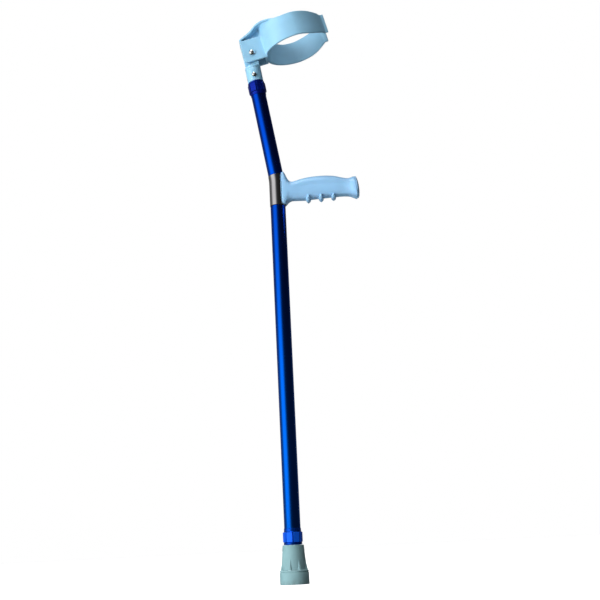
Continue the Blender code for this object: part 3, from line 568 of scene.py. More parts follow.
def collar_rows():
    columns = PAD_COUNT * COLLAR_COLUMNS_PER_PAD
    pad_height = PAD_HEAD - PAD_FOOT
    heights = [0.0, 0.0003, 0.0007, 0.0018, PAD_FOOT - 0.0006, PAD_FOOT - 0.0003]
    heights += [PAD_FOOT + pad_height * i / 30 for i in range(31)]
    heights += [PAD_HEAD + 0.0003, PAD_HEAD + 0.0007, 0.0215, COLLAR_LENGTH - 0.0004, COLLAR_LENGTH]
    rows = []
    for z in heights:
        row = []
        for i in range(columns):
            a = 2 * math.pi * i / columns
            offset = (a - PAD_PHASE + PAD_PITCH / 2) % PAD_PITCH - PAD_PITCH / 2
            body = collar_body_r(z)
            face = min(PAD_FACE_R / math.cos(offset) + 0.0001, PAD_EDGE_R)
            r = body + (max(face, body + 0.0002) - body) * pad_rise(offset * COLLAR_BODY_R, z)
            row.append(Vector((r * math.cos(a), r * math.sin(a), z)))
        rows.append(row)
    bore, lip_bore = MAIN_R + GAP, MAIN_R - WALL
    for r, z in ((bore, COLLAR_LENGTH), (bore, 0.0018), (lip_bore, 0.0018), (lip_bore, 0.0003)):
        rows.append(circle(r, z, columns))
    return rows


def make_collars():
    over = Matrix.Rotation(math.pi, 4, "X")
    # Per collar: its place, the share of frost and painted light on its pads, and its painted shade
    places = {
        "leg_lock_collar": (at_height(COLLAR_FOOT_Z), 1.0, 0.0),
        "cuff_lock_collar": (NECK @ at_height(COLLAR_HEAD) @ over, 0.1, 1.0),
    }
    for name, (place, frost_and_light_share, depth) in places.items():
        rows = collar_rows()
        collar = add_object(name + "_skin", rows, True, place)
        # The pads are frosted rougher, and on the lower collar they also carry painted light
        frost_and_light = collar.data.attributes.new("frost_and_light", "FLOAT", "POINT")
        for item, point in zip(frost_and_light.data, (point for row in rows for point in row)):
            raised = math.hypot(point.x, point.y) > PAD_FACE_R - 0.0001 and PAD_FOOT < point.z < PAD_HEAD
            item.value = frost_and_light_share if raised else 0.0
        # Painted shade: the upper collar is painted a deep navy, the lower one not
        painted_navy_shade = collar.data.attributes.new("painted_navy_shade", "FLOAT", "POINT")
        for item in painted_navy_shade.data:
            item.value = depth
        dress(collar, name, "collar_blue", name)


def make_buttons():
    profile = (
        (0.0043, 0.0069),
        (0.0044, 0.0071),
        (0.0044, 0.0083),
        (0.0035, 0.0083),
        (0.0035, 0.0124),
        (0.0034, 0.0131),
        (0.0030, 0.0136),
        (0.0022, 0.01395),
        (0.0011, 0.01415),
        (0.0002, 0.0142),
    )
    places = {"leg_button": at_height(LEG_BUTTON_Z), "cuff_button": NECK @ at_height(CUFF_BUTTON_REACH)}
    for name, place in places.items():
        button = turned(name + "_skin", profile, 48, False, place @ TO_BACK)
        dress(button, name, "fastener_steel", name)


# Ferrule

GUSSET_COUNT = 8
GUSSET_PHASE = math.radians(-62)
GUSSET_HALF_WIDTH = 0.0021
GUSSET_TOP_Z = 0.0375
GUSSET_RISE = 0.0021
RING_TOP_Z, CONE_FOOT_Z = 0.0210, 0.0219
SHOULDER_R, NECK_R = 0.0192, 0.0162
FERRULE_COLUMNS = 288
TREAD_GROOVES = ((0.0075, 0.0095), (0.0120, 0.0140), (0.0165, 0.0185))
TREAD_DEPTH = 0.0015
FERRULE_FLOOR_Z = 0.012


def gusset(angle, height):
    """How far the gussets stand out of the cone: widest and highest at the base ring."""
    if not RING_TOP_Z - 0.001 <= height <= GUSSET_TOP_Z:
        return 0.0
    pitch = 2 * math.pi / GUSSET_COUNT
    offset = (angle - GUSSET_PHASE + pitch / 2) % pitch - pitch / 2
    fade = (GUSSET_TOP_Z - height) / (GUSSET_TOP_Z - RING_TOP_Z)
    across = abs(offset) * SHOULDER_R / (GUSSET_HALF_WIDTH * max(fade, 0.02) ** 0.6)
    return GUSSET_RISE * fade * smooth_step((1.2 - across) / 0.45)


def ferrule_outline():
    """Outer side of the ferrule, from the tread's rim to the lip of its mouth: (radius, height)."""
    inset_by_height = (
        (0.0010, 0.0), (0.0003, 0.0003), (0.0, 0.0010), (0.0, 0.0060), (0.0, 0.0120), (0.0, 0.0170),
        (0.0003, 0.0175), (0.0008, 0.0178), (0.0009, 0.0183), (0.0008, 0.0188), (0.0004, 0.0191),
        (0.0002, 0.0195), (0.0003, 0.0203), (0.0008, 0.0208), (0.0015, 0.0210),
    )
    outline = [(FERRULE_R - inset, z) for inset, z in inset_by_height]
    outline += [(SHOULDER_R + 0.0011, RING_TOP_Z), (SHOULDER_R + 0.0004, 0.0213), (SHOULDER_R, CONE_FOOT_Z)]
    steps = 26
    rise = FERRULE_TOP_Z - 0.0009 - CONE_FOOT_Z
    for i in range(1, steps + 1):
        outline.append((SHOULDER_R + (NECK_R - SHOULDER_R) * i / steps, CONE_FOOT_Z + rise * i / steps))
    return outline + [(NECK_R - 0.0003, FERRULE_TOP_Z - 0.0003), (NECK_R - 0.0009, FERRULE_TOP_Z)]


def make_ferrule():
    rows = []
    tread = [(0.0006, 0.0)]
    for inner, outer in TREAD_GROOVES:
        tread += [(inner, 0.0), (inner + 0.0002, TREAD_DEPTH), (outer - 0.0002, TREAD_DEPTH), (outer, 0.0)]
    for r, z in tread:
        rows.append(circle(r, z, FERRULE_COLUMNS))
    for r, z in ferrule_outline():
        row = []
        for i in range(FERRULE_COLUMNS):
            a = 2 * math.pi * i / FERRULE_COLUMNS
            reach = max(r, min(r + gusset(a, z), SHOULDER_R + GUSSET_RISE))
            row.append(Vector((reach * math.cos(a), reach * math.sin(a), z)))
        rows.append(row)
    bore = INNER_R + GAP
    inside = [(bore + 0.0006, FERRULE_TOP_Z), (bore, FERRULE_TOP_Z - 0.0006)]
    inside += [(bore, FERRULE_FLOOR_Z), (0.0006, FERRULE_FLOOR_Z)]
    for r, z in inside:
        rows.append(circle(r, z, FERRULE_COLUMNS))
    ferrule = add_object("ferrule_skin", rows)
    dress(ferrule, "leg", "rubber_grey", "ferrule")


# Handle

def make_strap():
    lip = 0.0004
    reaches = [STRAP_FOOT + lip] + bend_reaches() + [STRAP_HEAD - lip]
    outside = [(STRAP_FOOT, STRAP_R - lip)] + [(s, STRAP_R) for s in reaches] + [(STRAP_HEAD, STRAP_R - lip)]
    inside = [(s, STRAP_BORE_R) for s in [STRAP_HEAD] + bend_reaches()[::-1] + [STRAP_FOOT]]
    strap = add_object("handle_strap_skin", bent_rows(outside + inside), True)
    tools = back_holes("strap_rivet_hole", RIVET_REACHES.values(), RIVET_HOLE_R)
    combine(strap, "DIFFERENCE", tools + [core_drill("strap_core_hole")])
    dress(strap, "shaft", "polished_steel", "handle_strap")


def dome(radius, base, rise, steps=8):
    """Profile of a domed head, from its rim to its top."""
    points = []
    for i in range(steps + 1):
        a = math.pi / 2 * i / steps
        points.append((max(radius * math.cos(a), 0.0002), base + rise * math.sin(a)))
    return points


def make_rivets():
    head = STRAP_R + GAP
    tail = MAIN_R - WALL - 3 * GAP
    profile = [(0.0026, tail - 0.0014), (0.0028, tail - 0.0012), (0.0028, tail), (0.0019, tail)]
    profile += [(0.0019, head), (0.0034, head)] + dome(0.0035, head + 0.0002, 0.0016)
    for name, reach in RIVET_REACHES.items():
        rivet = turned(name + "_skin", profile, 48, False, tube_frame(reach) @ TO_BACK)
        dress(rivet, "shaft", "fastener_steel", name)


GRIP_TILT = math.radians(6)
GRIP_START_X, GRIP_END_X = 0.0078, 0.1300
GRIP_TOP = (
    (0.0078, 0.6594), (0.0110, 0.6599), (0.0135, 0.6566), (0.0165, 0.6500), (0.0200, 0.6447),
    (0.0240, 0.6425), (0.0300, 0.6434), (0.0400, 0.6463), (0.0550, 0.6489), (0.0780, 0.6498),
    (0.0960, 0.6482), (0.1120, 0.6440), (0.1175, 0.6431), (0.1225, 0.6439), (0.1270, 0.6455),
    (0.1300, 0.6461),
)
GRIP_FOOT = (
    (0.0078, 0.6006), (0.0110, 0.6010), (0.0140, 0.6036), (0.0180, 0.6078), (0.0230, 0.6105),
    (0.0300, 0.6108), (0.0450, 0.6104), (0.0620, 0.6118), (0.0820, 0.6130), (0.1030, 0.6142),
    (0.1150, 0.6140), (0.1200, 0.6130), (0.1250, 0.6108), (0.1300, 0.6089),
)
GRIP_WIDTH = (
    (0.0078, 0.0135), (0.0150, 0.0137), (0.0240, 0.0136), (0.0380, 0.0142), (0.0550, 0.0148),
    (0.0780, 0.0152), (0.0960, 0.0148), (0.1120, 0.0143), (0.1200, 0.0148), (0.1260, 0.0165),
    (0.1300, 0.0171),
)
# Height of the soft edge between the palm rest and the side
GRIP_EDGE = (
    (0.0078, 0.6300), (0.0240, 0.6320), (0.0470, 0.6360), (0.0800, 0.6378), (0.1120, 0.6335),
    (0.1300, 0.6285),
)
GRIP_LEAN = ((0.0078, 0.0), (0.0850, 0.0), (0.1120, 0.6), (0.1220, 0.95), (0.1300, 1.0))
GRIP_LEDGE = 0.0011
NUBS = ((0.0510, 0.6062), (0.0720, 0.6072), (0.0925, 0.6084))
NUB_TIP_Z = 0.6150
NUB_R = 0.0042


def grip_section(x, points=60):
    """A domed palm rest over flatter sides that draw in to a round underside; boxy at the flange."""
    top, foot, width = spline(GRIP_TOP, x), spline(GRIP_FOOT, x), spline(GRIP_WIDTH, x)
    edge = spline(GRIP_EDGE, x)
    boxy = smooth_step((0.021 - x) / 0.009)
    ledge = GRIP_LEDGE * smooth_step((x - 0.022) / 0.02) * smooth_step((0.124 - x) / 0.015)
    lean = math.tan(GRIP_TILT) * spline(GRIP_LEAN, x)
    row = []
    for i in range(points):
        a = 2 * math.pi * i / points
        across, up = math.cos(a), math.sin(a)
        if up >= 0:
            y = math.copysign(abs(across) ** (1.12 - 0.62 * boxy), across) * width
            z = edge + (top - edge) * up ** (0.95 - 0.45 * boxy)
        else:
            side = math.copysign(abs(across) ** 0.42, across)
            y = side * (width - ledge) * (1 - 0.06 * abs(up) * (1 - boxy))
            z = edge - (edge - foot) * abs(up) ** (0.72 - 0.22 * boxy)
        row.append(Vector((x - lean * (z - GRIP_Z), y, z)))
    return row


def finger_nub(name, x, foot):
    """A drop-shaped nub under the grip, drawn up to a point on each side."""
    rows = []
    steps = 12
    for i in range(steps + 1):
        t = i / steps
        z = foot + (NUB_TIP_Z - foot) * t
        swell = math.sin(math.pi * (t + 0.10)) ** 0.7 if t < 0.42 else max(1 - (t - 0.42) / 0.58, 0.0) ** 0.8
        half_x = max(NUB_R * swell, 0.0004)
        half_y = 0.0085 + 0.0060 * smooth_step(t / 0.55)
        rows.append([Vector((x + half_x * p.x, half_y * p.y, z)) for p in circle(1.0, 0.0, 32)])
    return add_object(name, rows)


def make_grip():
    steps = 120
    rows = [grip_section(GRIP_START_X + (GRIP_END_X - GRIP_START_X) * i / steps) for i in range(steps + 1)]
    grip = add_object("grip_skin", rows)
    combine(grip, "UNION", [finger_nub(f"nub_{i}", *place) for i, place in enumerate(NUBS)])
    reaches = [STRAP_FOOT - 0.010] + bend_reaches() + [STRAP_HEAD + 0.010]
    saddle = add_object("saddle_cut", bent_rows([(s, SADDLE_R) for s in reaches]))
    place = at_height(GRIP_Z) @ TO_FRONT
    bore = rod("core_bore", CORE_R + 2 * GAP, 0.0, 0.150, HOLE_SIDES, place)
    pocket = rod("end_pocket", 0.0097, 0.1210, 0.150, FINE_SIDES, place)
    combine(grip, "DIFFERENCE", [saddle, bore, pocket])
    mould(grip, voxel=0.0007, rounds=6)
    dress(grip, "shaft", "grip_plastic", "grip")


def make_grip_cap():
    """Thin oval cap, crowned a little, leaning with the grip's end."""
    top, foot, width = GRIP_TOP[-1][1], GRIP_FOOT[-1][1], GRIP_WIDTH[-1][1]
    middle, half_height = (top + foot) / 2, (top - foot) / 2 / math.cos(GRIP_TILT)
    centre_x = GRIP_END_X - math.tan(GRIP_TILT) * (middle - GRIP_Z)
    stations = (
        (0.955, 0.0), (0.985, 0.0002), (1.0, 0.0006), (1.0, 0.0010), (0.985, 0.0014), (0.94, 0.0021),
        (0.86, 0.0028), (0.74, 0.0034), (0.60, 0.0039), (0.42, 0.0043), (0.22, 0.0045),
    )
    rows = []
    for share, depth in stations:
        loop = circle(share, depth, TUBE_SIDES)
        rows.append([Vector((p.x * half_height, p.y * width, p.z)) for p in loop])
    lean = Matrix.Rotation(-GRIP_TILT, 4, "Y") @ TO_FRONT
    origin = Matrix.Translation((centre_x + GAP / math.cos(GRIP_TILT), 0.0, middle))
    cap = add_object("grip_end_cap_skin", rows, False, origin @ lean)
    dress(cap, "shaft", "grip_plastic", "grip_end_cap")


# Arm stem and fasteners

def make_arm_stem():
    """Barrel with a flanged head, and the tongue that the cuff turns on."""
    bore = INNER_R + GAP
    profile = (
        (STEM_R - 0.0006, STEM_FOOT),
        (STEM_R - 0.0002, STEM_FOOT + 0.0004),
        (STEM_R - 0.0001, STEM_HEAD - 0.0068),
        (STEM_R - 0.0007, STEM_HEAD - 0.0060),
        (STEM_R - 0.0007, STEM_HEAD - 0.0050),
        (STEM_R, STEM_HEAD - 0.0042),
        (STEM_R, STEM_HEAD - 0.0006),
        (STEM_R - 0.0008, STEM_HEAD),
    )
    stem = turned("arm_stem_skin", profile, TUBE_SIDES)
    arc = [math.pi * i / 24 for i in range(25)]
    outline = [(PIVOT_FORWARD + TONGUE_R * math.cos(a), PIVOT_REACH + TONGUE_R * math.sin(a)) for a in arc]
    outline += [(PIVOT_FORWARD - TONGUE_R, STEM_HEAD - 0.002), (PIVOT_FORWARD + TONGUE_R, STEM_HEAD - 0.002)]
    combine(stem, "UNION", [slab("tongue", outline, TONGUE_HALF_Y)])
    socket = rod("socket_cut", bore, STEM_FOOT - 0.01, CUFF_TUBE_HEAD + GAP, TUBE_SIDES)
    at_pivot = Matrix.Translation((PIVOT_FORWARD, 0.0, PIVOT_REACH)) @ TO_BACK
    pin = rod("pin_cut", PIVOT_HOLE_R, -DRILL_THROUGH, DRILL_THROUGH, HOLE_SIDES, at_pivot)
    screw_place = at_height(STEM_SCREW_REACH) @ TO_BACK
    screw = rod("screw_cut", 0.0027, -DRILL_THROUGH, DRILL_THROUGH, HOLE_SIDES, screw_place)
    combine(stem, "DIFFERENCE", [socket, pin, screw])
    mould(stem, voxel=0.0005, rounds=4)
    stem.data.transform(NECK)
    dress(stem, "cuff_post", "cuff_plastic", "arm_stem")


def cross_cutters(name, radius, top, depth):
    """The two tapered slots of a cross recess, cut down from the top of a head."""
    tools = []
    for i in range(2):
        rows = []
        for share, z in ((0.35, top - depth), (1.0, top + 0.001)):
            long, thin = radius * share, 0.00055 * (0.7 + 0.3 * share)
            corners = ((-long, -thin), (long, -thin), (long, thin), (-long, thin))
            rows.append([Vector((x, y, z)) for x, y in corners])
        turn = Matrix.Rotation(math.radians(20) + i * math.pi / 2, 4, "Z")
        tools.append(add_object(f"{name}_cross_{i}", rows, False, turn))
    return tools


def headed_bolt(name, shank_r, head_r, head_y, end_y, place):
    """A dome-headed bolt through a body; its head looks towards -Y."""
    rise = head_r * 0.62
    profile = [(shank_r - 0.0003, -end_y), (shank_r, 0.0003 - end_y), (shank_r, head_y)]
    profile += [(head_r - 0.0002, head_y)] + dome(head_r, head_y + 0.0004, rise, 14)
    bolt = turned(name, profile, FINE_SIDES)
    tools = cross_cutters(name, head_r * 0.50, head_y + 0.0004 + rise, rise * 0.75)
    combine(bolt, "DIFFERENCE", tools)
    bolt.data.transform(place @ Matrix.Rotation(math.pi / 2, 4, "X"))
    return bolt


def hex_nut(name, bore_r, across, foot, head, place):
    """A hexagon nut with chamfered corners, round the bolt's tail on the +Y side."""
    sides = 6
    columns = sides * 10
    flat = across / 2 * math.cos(math.pi / sides)
    rows = []
    for share, z in ((0.93, foot), (1.0, foot + 0.0005), (1.0, head - 0.0005), (0.93, head)):
        row = []
        for i in range(columns):
            a = 2 * math.pi * i / columns
            offset = (a + math.pi / sides) % (2 * math.pi / sides) - math.pi / sides
            r = min(flat / math.cos(offset), across / 2 * share)
            row.append(Vector((r * math.cos(a), r * math.sin(a), z)))
        rows.append(row)
    for r, z in ((bore_r + 0.0003, head), (bore_r, head - 0.0003), (bore_r, foot)):
        rows.append(circle(r, z, columns))
    return add_object(name, rows, True, place @ TO_BACK)


def make_fasteners():
    screw_place = NECK @ at_height(STEM_SCREW_REACH)
    stem_face, fork_face = STEM_R + GAP, 0.0140
    screw = headed_bolt("stem_screw_skin", 0.0023, 0.0045, stem_face, stem_face + 0.0040, screw_place)
    dress(screw, "cuff_post", "fastener_steel", "stem_screw")
    nut = hex_nut("stem_nut_skin", 0.0029, 0.0092, stem_face, stem_face + 0.0036, screw_place)
    dress(nut, "cuff_post", "fastener_steel", "stem_nut")
    bolt = headed_bolt("cuff_pivot_bolt_skin", 0.0030, 0.00525, fork_face, fork_face + 0.0044, CUFF)
    dress(bolt, "cuff", "fastener_steel", "cuff_pivot_bolt")
    nut = hex_nut("cuff_pivot_nut_skin", 0.0036, 0.0112, fork_face, fork_face + 0.0040, CUFF)
    dress(nut, "cuff", "fastener_steel", "cuff_pivot_nut")


# Cuff, drawn in its own frame at the pivot: u forward, c up

CUFF_CENTRE_U, CUFF_SEMI_U, CUFF_SEMI_Y = 0.0784, 0.0582, 0.0528
CUFF_FRONT_POWER = 1.25
CUFF_DRAFT = 0.034
CUFF_WALL = 0.0035
CUFF_FOOT_C, CUFF_FRONT_FOOT_C = -0.0107, -0.0050
CUFF_TOP_C, CUFF_FRONT_TOP_C, CUFF_BACK_TOP_C = 0.0310, 0.0297, 0.0460
CUFF_LEDGE_C, CUFF_LEDGE_SHARE = 0.0322, 0.62
CUFF_STEPS = 70
CUFF_MOUTH_ANGLE = math.radians(154)
LIP_POINTS = ((0.1300, 0.0183), (0.1306, 0.0180), (0.1316, 0.0178), (0.1335, 0.0176), (0.1355, 0.0177))
FORK_HALF_Y, FORK_INSIDE_Y = 0.0137, 0.0102
FORK_BACK_U, FORK_WALL_U, FORK_FRONT_U = -0.0165, -0.0115, 0.030
FORK_FOOT_C, FORK_FLOOR_C = -0.0153, 0.013
FORK_CORNER_R = 0.0055
FORK_TOP = ((FORK_FRONT_U, 0.0255), (0.006, 0.0262), (-0.0100, 0.0258), (-0.0143, 0.0285))
WEB_HALF_Y = 0.0055
WEB_FOOT = ((-0.0125, 0.020), (0.030, 0.020))
WEB_TOP = ((0.030, 0.0385), (0.018, 0.0428), (0.006, 0.0355), (-0.0125, 0.0265))
HOOD_TOP = (
    (-0.0147, 0.0293), (0.0060, 0.0385), (0.0180, 0.0449), (0.0260, 0.0440), (0.0310, 0.0417),
    (0.0360, 0.0393), (0.0420, 0.0364), (0.0460, 0.0346), (0.0500, 0.0330),
)
HOOD_WIDTH = (
    (-0.0147, 0.0143), (0.0060, 0.0154), (0.0180, 0.0205), (0.0260, 0.0288), (0.0310, 0.0350),
    (0.0360, 0.0396), (0.0420, 0.0441), (0.0460, 0.0459), (0.0500, 0.0468),
)
HOOD_DEPTH = (
    (-0.0147, 0.0034), (0.0060, 0.0046), (0.0180, 0.0038), (0.0260, 0.0030), (0.0360, 0.0027),
    (0.0500, 0.0022),
)


def cuff_edges(angle):
    """Heights of the lower edge, the ledge under the hood and the upper edge, by angle from the back."""
    back = smooth_step((math.radians(75.8) - angle) / math.radians(61))
    front_foot = smooth_step((angle - math.radians(120)) / math.radians(40))
    front_top = smooth_step((angle - math.radians(115)) / math.radians(40))
    foot = CUFF_FOOT_C + (CUFF_FRONT_FOOT_C - CUFF_FOOT_C) * front_foot
    top = CUFF_TOP_C + (CUFF_BACK_TOP_C - CUFF_TOP_C) * back + (CUFF_FRONT_TOP_C - CUFF_TOP_C) * front_top
    return foot, min(CUFF_LEDGE_C, top - 0.0002), top


def cuff_draft(height):
    """How much wider the cuff is at a height than at the middle of its band."""
    middle = (CUFF_FOOT_C + CUFF_TOP_C) / 2
    return 1 + CUFF_DRAFT * min((height - middle) / (CUFF_TOP_C - middle), 1.0)


def cuff_band():
    half = []
    for i in range(CUFF_STEPS + 1):
        a = CUFF_MOUTH_ANGLE * i / CUFF_STEPS
        across, along = math.sin(a), -math.cos(a)
        if along > 0:
            across, along = across**CUFF_FRONT_POWER, along**CUFF_FRONT_POWER
        half.append((CUFF_CENTRE_U + CUFF_SEMI_U * along, CUFF_SEMI_Y * across, a))
    half += [(u, y, math.pi) for u, y in LIP_POINTS]
    path = [(u, -y, a) for u, y, a in half[:0:-1]] + half
    rows = []
    for i, (u, y, a) in enumerate(path):
        before = Vector(path[max(i - 1, 0)][:2])
        after = Vector(path[min(i + 1, len(path) - 1)][:2])
        along = (after - before).normalized()
        outer = Vector((u, y))
        inner = outer + Vector((along.y, -along.x)) * CUFF_WALL
        foot, ledge, top = cuff_edges(a)
        middle = outer.lerp(inner, CUFF_LEDGE_SHARE)
        ends = ((outer, foot), (outer, ledge), (middle, ledge), (middle, top), (inner, top), (inner, foot))
        rows.append([Vector((p.x, p.y * cuff_draft(c), c)) for p, c in ends])
    return add_object("band", rows, flip=True)


def fork_outline():
    corner_u = FORK_BACK_U + FORK_CORNER_R
    corner_c = FORK_FOOT_C + FORK_CORNER_R
    arc = [math.pi * (1 + i / 24) for i in range(13)]
    corner = [(corner_u + FORK_CORNER_R * math.cos(a), corner_c + FORK_CORNER_R * math.sin(a)) for a in arc]
    return [*corner, (FORK_FRONT_U, FORK_FOOT_C), *FORK_TOP]


def hood():
    rows = []
    steps = 30
    first, last = HOOD_TOP[0][0], HOOD_TOP[-1][0]
    for i in range(steps + 1):
        u = first + (last - first) * i / steps
        top, half_y = spline(HOOD_TOP, u), spline(HOOD_WIDTH, u)
        foot = top - spline(HOOD_DEPTH, u)
        corners = ((-half_y, foot), (half_y, foot), (half_y, top), (-half_y, top))
        rows.append([Vector((u, y, c)) for y, c in corners])
    return add_object("hood", rows)


def box(name, low, high):
    x0, y0, z0 = low
    x1, y1, z1 = high
    rows = [[Vector(p) for p in ((x0, y0, z), (x1, y0, z), (x1, y1, z), (x0, y1, z))] for z in (z0, z1)]
    return add_object(name, rows)


def arm_space():
    semi_u, semi_y = CUFF_SEMI_U - CUFF_WALL / 2, CUFF_SEMI_Y - CUFF_WALL / 2
    rows = []
    for c in (-0.04, CUFF_FOOT_C, CUFF_TOP_C, 0.07):
        width = semi_y * cuff_draft(c)
        loop = circle(1.0, c, TUBE_SIDES)
        rows.append([Vector((CUFF_CENTRE_U + p.x * semi_u, p.y * width, c)) for p in loop])
    return add_object("arm_space", rows)


def make_cuff():
    """The fork, the web and hood over it, and the band, moulded in one."""
    cuff = slab("cuff_skin", fork_outline(), FORK_HALF_Y)
    front_u = CUFF_CENTRE_U - CUFF_SEMI_U - 0.0005
    combine(cuff, "UNION", [slab("web", WEB_FOOT + WEB_TOP, WEB_HALF_Y), hood()])
    inside = box("fork_inside", (FORK_WALL_U, -FORK_INSIDE_Y, -0.03), (front_u, FORK_INSIDE_Y, FORK_FLOOR_C))
    swing_y = FORK_INSIDE_Y - 0.0001
    swing = box("stem_swing", (-0.03, -swing_y, -0.03), (0.0, swing_y, 0.006))
    bolt = rod("bolt_hole", PIVOT_HOLE_R, -DRILL_THROUGH, DRILL_THROUGH, HOLE_SIDES, TO_BACK)
    combine(cuff, "DIFFERENCE", [inside, swing, bolt, arm_space()])
    combine(cuff, "UNION", [cuff_band()])
    mould(cuff, voxel=0.0008, rounds=8)
    cuff.data.transform(CUFF)
    dress(cuff, "cuff", "cuff_plastic", "cuff")


# Stage, light and camera

FLOOR_HALF, SKY_R = 30.0, 28.0
FLOOR_ALBEDO, FLOOR_GLOW = 0.90, 0.64
# How bright the card round the room is, by azimuth in degrees: 0 is behind the camera, 90 on its right
CARD_BY_AZIMUTH = (
    (-180, 0.14), (-150, 0.20), (-120, 0.13), (-95, 0.22), (-85, 0.35), (-76, 0.80), (-65, 1.0),
    (-35, 1.0), (-25, 0.60), (-16, 0.25), (-10, 0.10), (0, 0.04), (20, 0.025), (50, 0.02), (110, 0.02),
    (150, 0.10), (180, 0.14),
)
# By height in metres: a factor on that brightness, and the share of green
CARD_BY_HEIGHT = (
    (0.0, 1.62, 1.10), (0.7, 1.45, 1.08), (1.3, 1.12, 1.0), (1.9, 0.98, 0.95), (2.8, 0.85, 0.95),
)
CARD_DISTANCE = 2.1


def line(table, x):
    """Straight lines through rows of (x, value, ...)."""
    for low, high in zip(table, table[1:]):
        if x <= high[0]:
            t = (x - low[0]) / (high[0] - low[0])
            return [a + (b - a) * t for a, b in zip(low[1:], high[1:])]
    return list(table[-1][1:])


def emission(name, colour):
    """A material that only glows; its colour may be an attribute's name."""
    glow = bpy.data.materials.new(name)
    glow.use_nodes = True
    tree = glow.node_tree
    tree.nodes.clear()
    light = tree.nodes.new("ShaderNodeEmission")
    light.inputs["Strength"].default_value = 1.0
    if isinstance(colour, str):
        attribute = tree.nodes.new("ShaderNodeAttribute")
        attribute.attribute_name = colour
        tree.links.new(attribute.outputs["Color"], light.inputs["Color"])
    else:
        light.inputs["Color"].default_value = (*colour, 1.0)
    output = tree.nodes.new("ShaderNodeOutputMaterial")
    tree.links.new(light.outputs[0], output.inputs["Surface"])
    return glow


def hide_from(thing, *rays):
    for ray in rays:
        setattr(thing, f"visible_{ray}", False)


def make_card():
    """A ring of soft light that only the shiny pieces see; it makes the stripe down the tubes."""
    columns = 180
    heights = [0.02 + 2.78 * i / 28 for i in range(29)]
    points, faces, colours = [], [], []
    for height in heights:
        strength, green = line(CARD_BY_HEIGHT, height)
        for i in range(columns + 1):
            azimuth = -180 + 360 * i / columns
            a = math.radians(azimuth)
            points.append((math.sin(a) * CARD_DISTANCE, -math.cos(a) * CARD_DISTANCE, height))
            glow = strength * line(CARD_BY_AZIMUTH, azimuth)[0]
            colours.append((glow, glow * green, glow, 1.0))
    for r in range(len(heights) - 1):
        for i in range(columns):
            low = r * (columns + 1) + i
            faces.append((low, low + 1, low + columns + 2, low + columns + 1))
    mesh = bpy.data.meshes.new("card")
    mesh.from_pydata(points, [], faces)
    glow = mesh.color_attributes.new("glow", "FLOAT_COLOR", "POINT")
    for item, colour in zip(glow.data, colours):
        item.color = colour
    mesh.materials.append(emission("card_glow", "glow"))
    card = bpy.data.objects.new("card", mesh)
    bpy.context.scene.collection.objects.link(card)
    hide_from(card, "camera", "diffuse", "transmission", "shadow")
    return card


def make_stage():
    """A white floor and a white sky, which neither the metal nor the plastic mirrors, and the card."""
    white = bpy.data.materials.new("stage_white")
    white.use_nodes = True
    shader = white.node_tree.nodes["Principled BSDF"]
    shader.inputs["Base Color"].default_value = (FLOOR_ALBEDO, FLOOR_ALBEDO, FLOOR_ALBEDO, 1.0)
    shader.inputs["Roughness"].default_value = 0.9
    shader.inputs["Specular IOR Level"].default_value = 0.0
    shader.inputs["Emission Color"].default_value = (1.0, 1.0, 1.0, 1.0)
    shader.inputs["Emission Strength"].default_value = FLOOR_GLOW
    mesh = bpy.data.meshes.new("floor")
    corners = [(-FLOOR_HALF, -FLOOR_HALF, 0), (FLOOR_HALF, -FLOOR_HALF, 0)]
    corners += [(FLOOR_HALF, FLOOR_HALF, 0), (-FLOOR_HALF, FLOOR_HALF, 0)]
    mesh.from_pydata(corners, [], [(0, 1, 2, 3)])
    mesh.materials.append(white)
    floor = bpy.data.objects.new("floor", mesh)
    bpy.context.scene.collection.objects.link(floor)
    hide_from(floor, "diffuse", "glossy", "shadow")
    rings = [circle(SKY_R * math.cos(a), SKY_R * math.sin(a), 48) for a in (-0.05, 0.3, 0.7, 1.1, 1.5)]
    sky = add_object("sky", rings)
    sky.data.materials.append(emission("sky_glow", (1.0, 1.0, 1.0)))
    hide_from(sky, "diffuse", "glossy", "transmission", "shadow")
    make_card()


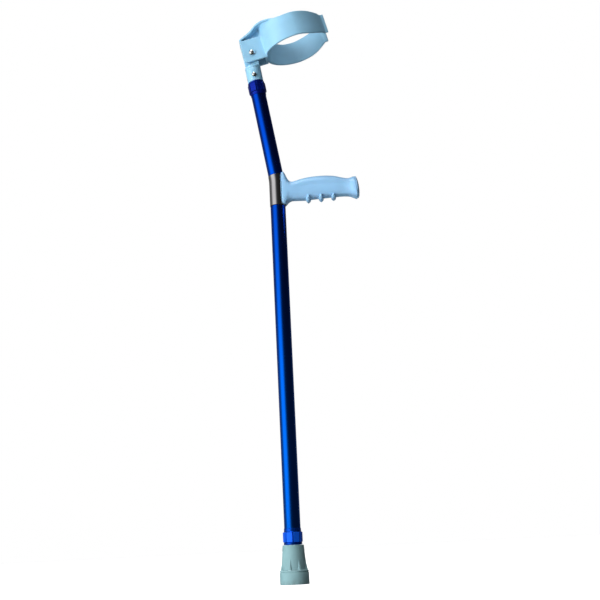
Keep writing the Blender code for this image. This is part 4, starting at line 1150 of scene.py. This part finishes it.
def add_sun(name, azimuth, elevation, strength, spread, mirrored=False):
    """A soft sun, mirrored in shiny pieces or not. Azimuth 0 is behind the camera, 90 on its right."""
    lamp = bpy.data.lights.new(name, "SUN")
    lamp.energy = strength
    lamp.angle = math.radians(spread)
    thing = bpy.data.objects.new(name, lamp)
    a, e = math.radians(azimuth), math.radians(elevation)
    thing.location = Vector((math.sin(a) * math.cos(e), -math.cos(a) * math.cos(e), math.sin(e))) * 3.0
    thing.rotation_euler = (-thing.location).to_track_quat("-Z", "Y").to_euler()
    thing.visible_glossy = mirrored
    bpy.context.scene.collection.objects.link(thing)


def make_light():
    world = bpy.data.worlds.new("room")
    world.use_nodes = True
    world.node_tree.nodes["Background"].inputs["Color"].default_value = (0.9, 0.95, 1.0, 1.0)
    world.node_tree.nodes["Background"].inputs["Strength"].default_value = 0.035
    bpy.context.scene.world = world
    add_sun("key", -54, 0, 3.55, 42)
    add_sun("overhead", -10, 78, 1.1, 70)
    add_sun("softbox", -25, 60, 0.9, 24, True)
    add_sun("bounce", -20, -62, 1.3, 90)
    add_sun("rear", 165, 20, 0.22, 60)


CAMERA_AZIMUTH, CAMERA_ELEVATION, CAMERA_ROLL = math.radians(2), math.radians(-14), math.radians(2.56)
CAMERA_DISTANCE = 1.613
CAMERA_LENS = 60.0
CAMERA_TARGET = Vector((0.0, 0.0, 0.442))
CAMERA_YAW = math.radians(1.02)


def make_camera():
    """Low and level with the ferrule, looking up the crutch, with the top leaning a little to the left."""
    data = bpy.data.cameras.new("camera")
    data.lens = CAMERA_LENS
    camera = bpy.data.objects.new("camera", data)
    a, e = CAMERA_AZIMUTH, CAMERA_ELEVATION
    back = Vector((math.sin(a) * math.cos(e), -math.cos(a) * math.cos(e), math.sin(e)))
    right = Vector((0, 0, 1)).cross(back).normalized()
    up = back.cross(right)
    turn = Matrix((right, up, back)).transposed().to_4x4()
    place = Matrix.Translation(CAMERA_TARGET + back * CAMERA_DISTANCE)
    lean = Matrix.Rotation(-CAMERA_ROLL, 4, "Z")
    yaw = Matrix.Rotation(-CAMERA_YAW, 4, "Y")
    camera.matrix_world = place @ turn @ lean @ yaw
    bpy.context.scene.collection.objects.link(camera)
    bpy.context.scene.camera = camera


make_camera()
make_stage()
make_light()
bpy.context.scene.view_settings.view_transform = "Standard"
dress_frame()
make_main_tube()
make_inner_tubes()
make_collars()
make_buttons()
make_ferrule()
make_strap()
make_rivets()
make_grip()
make_grip_cap()
make_arm_stem()
make_fasteners()
make_cuff()
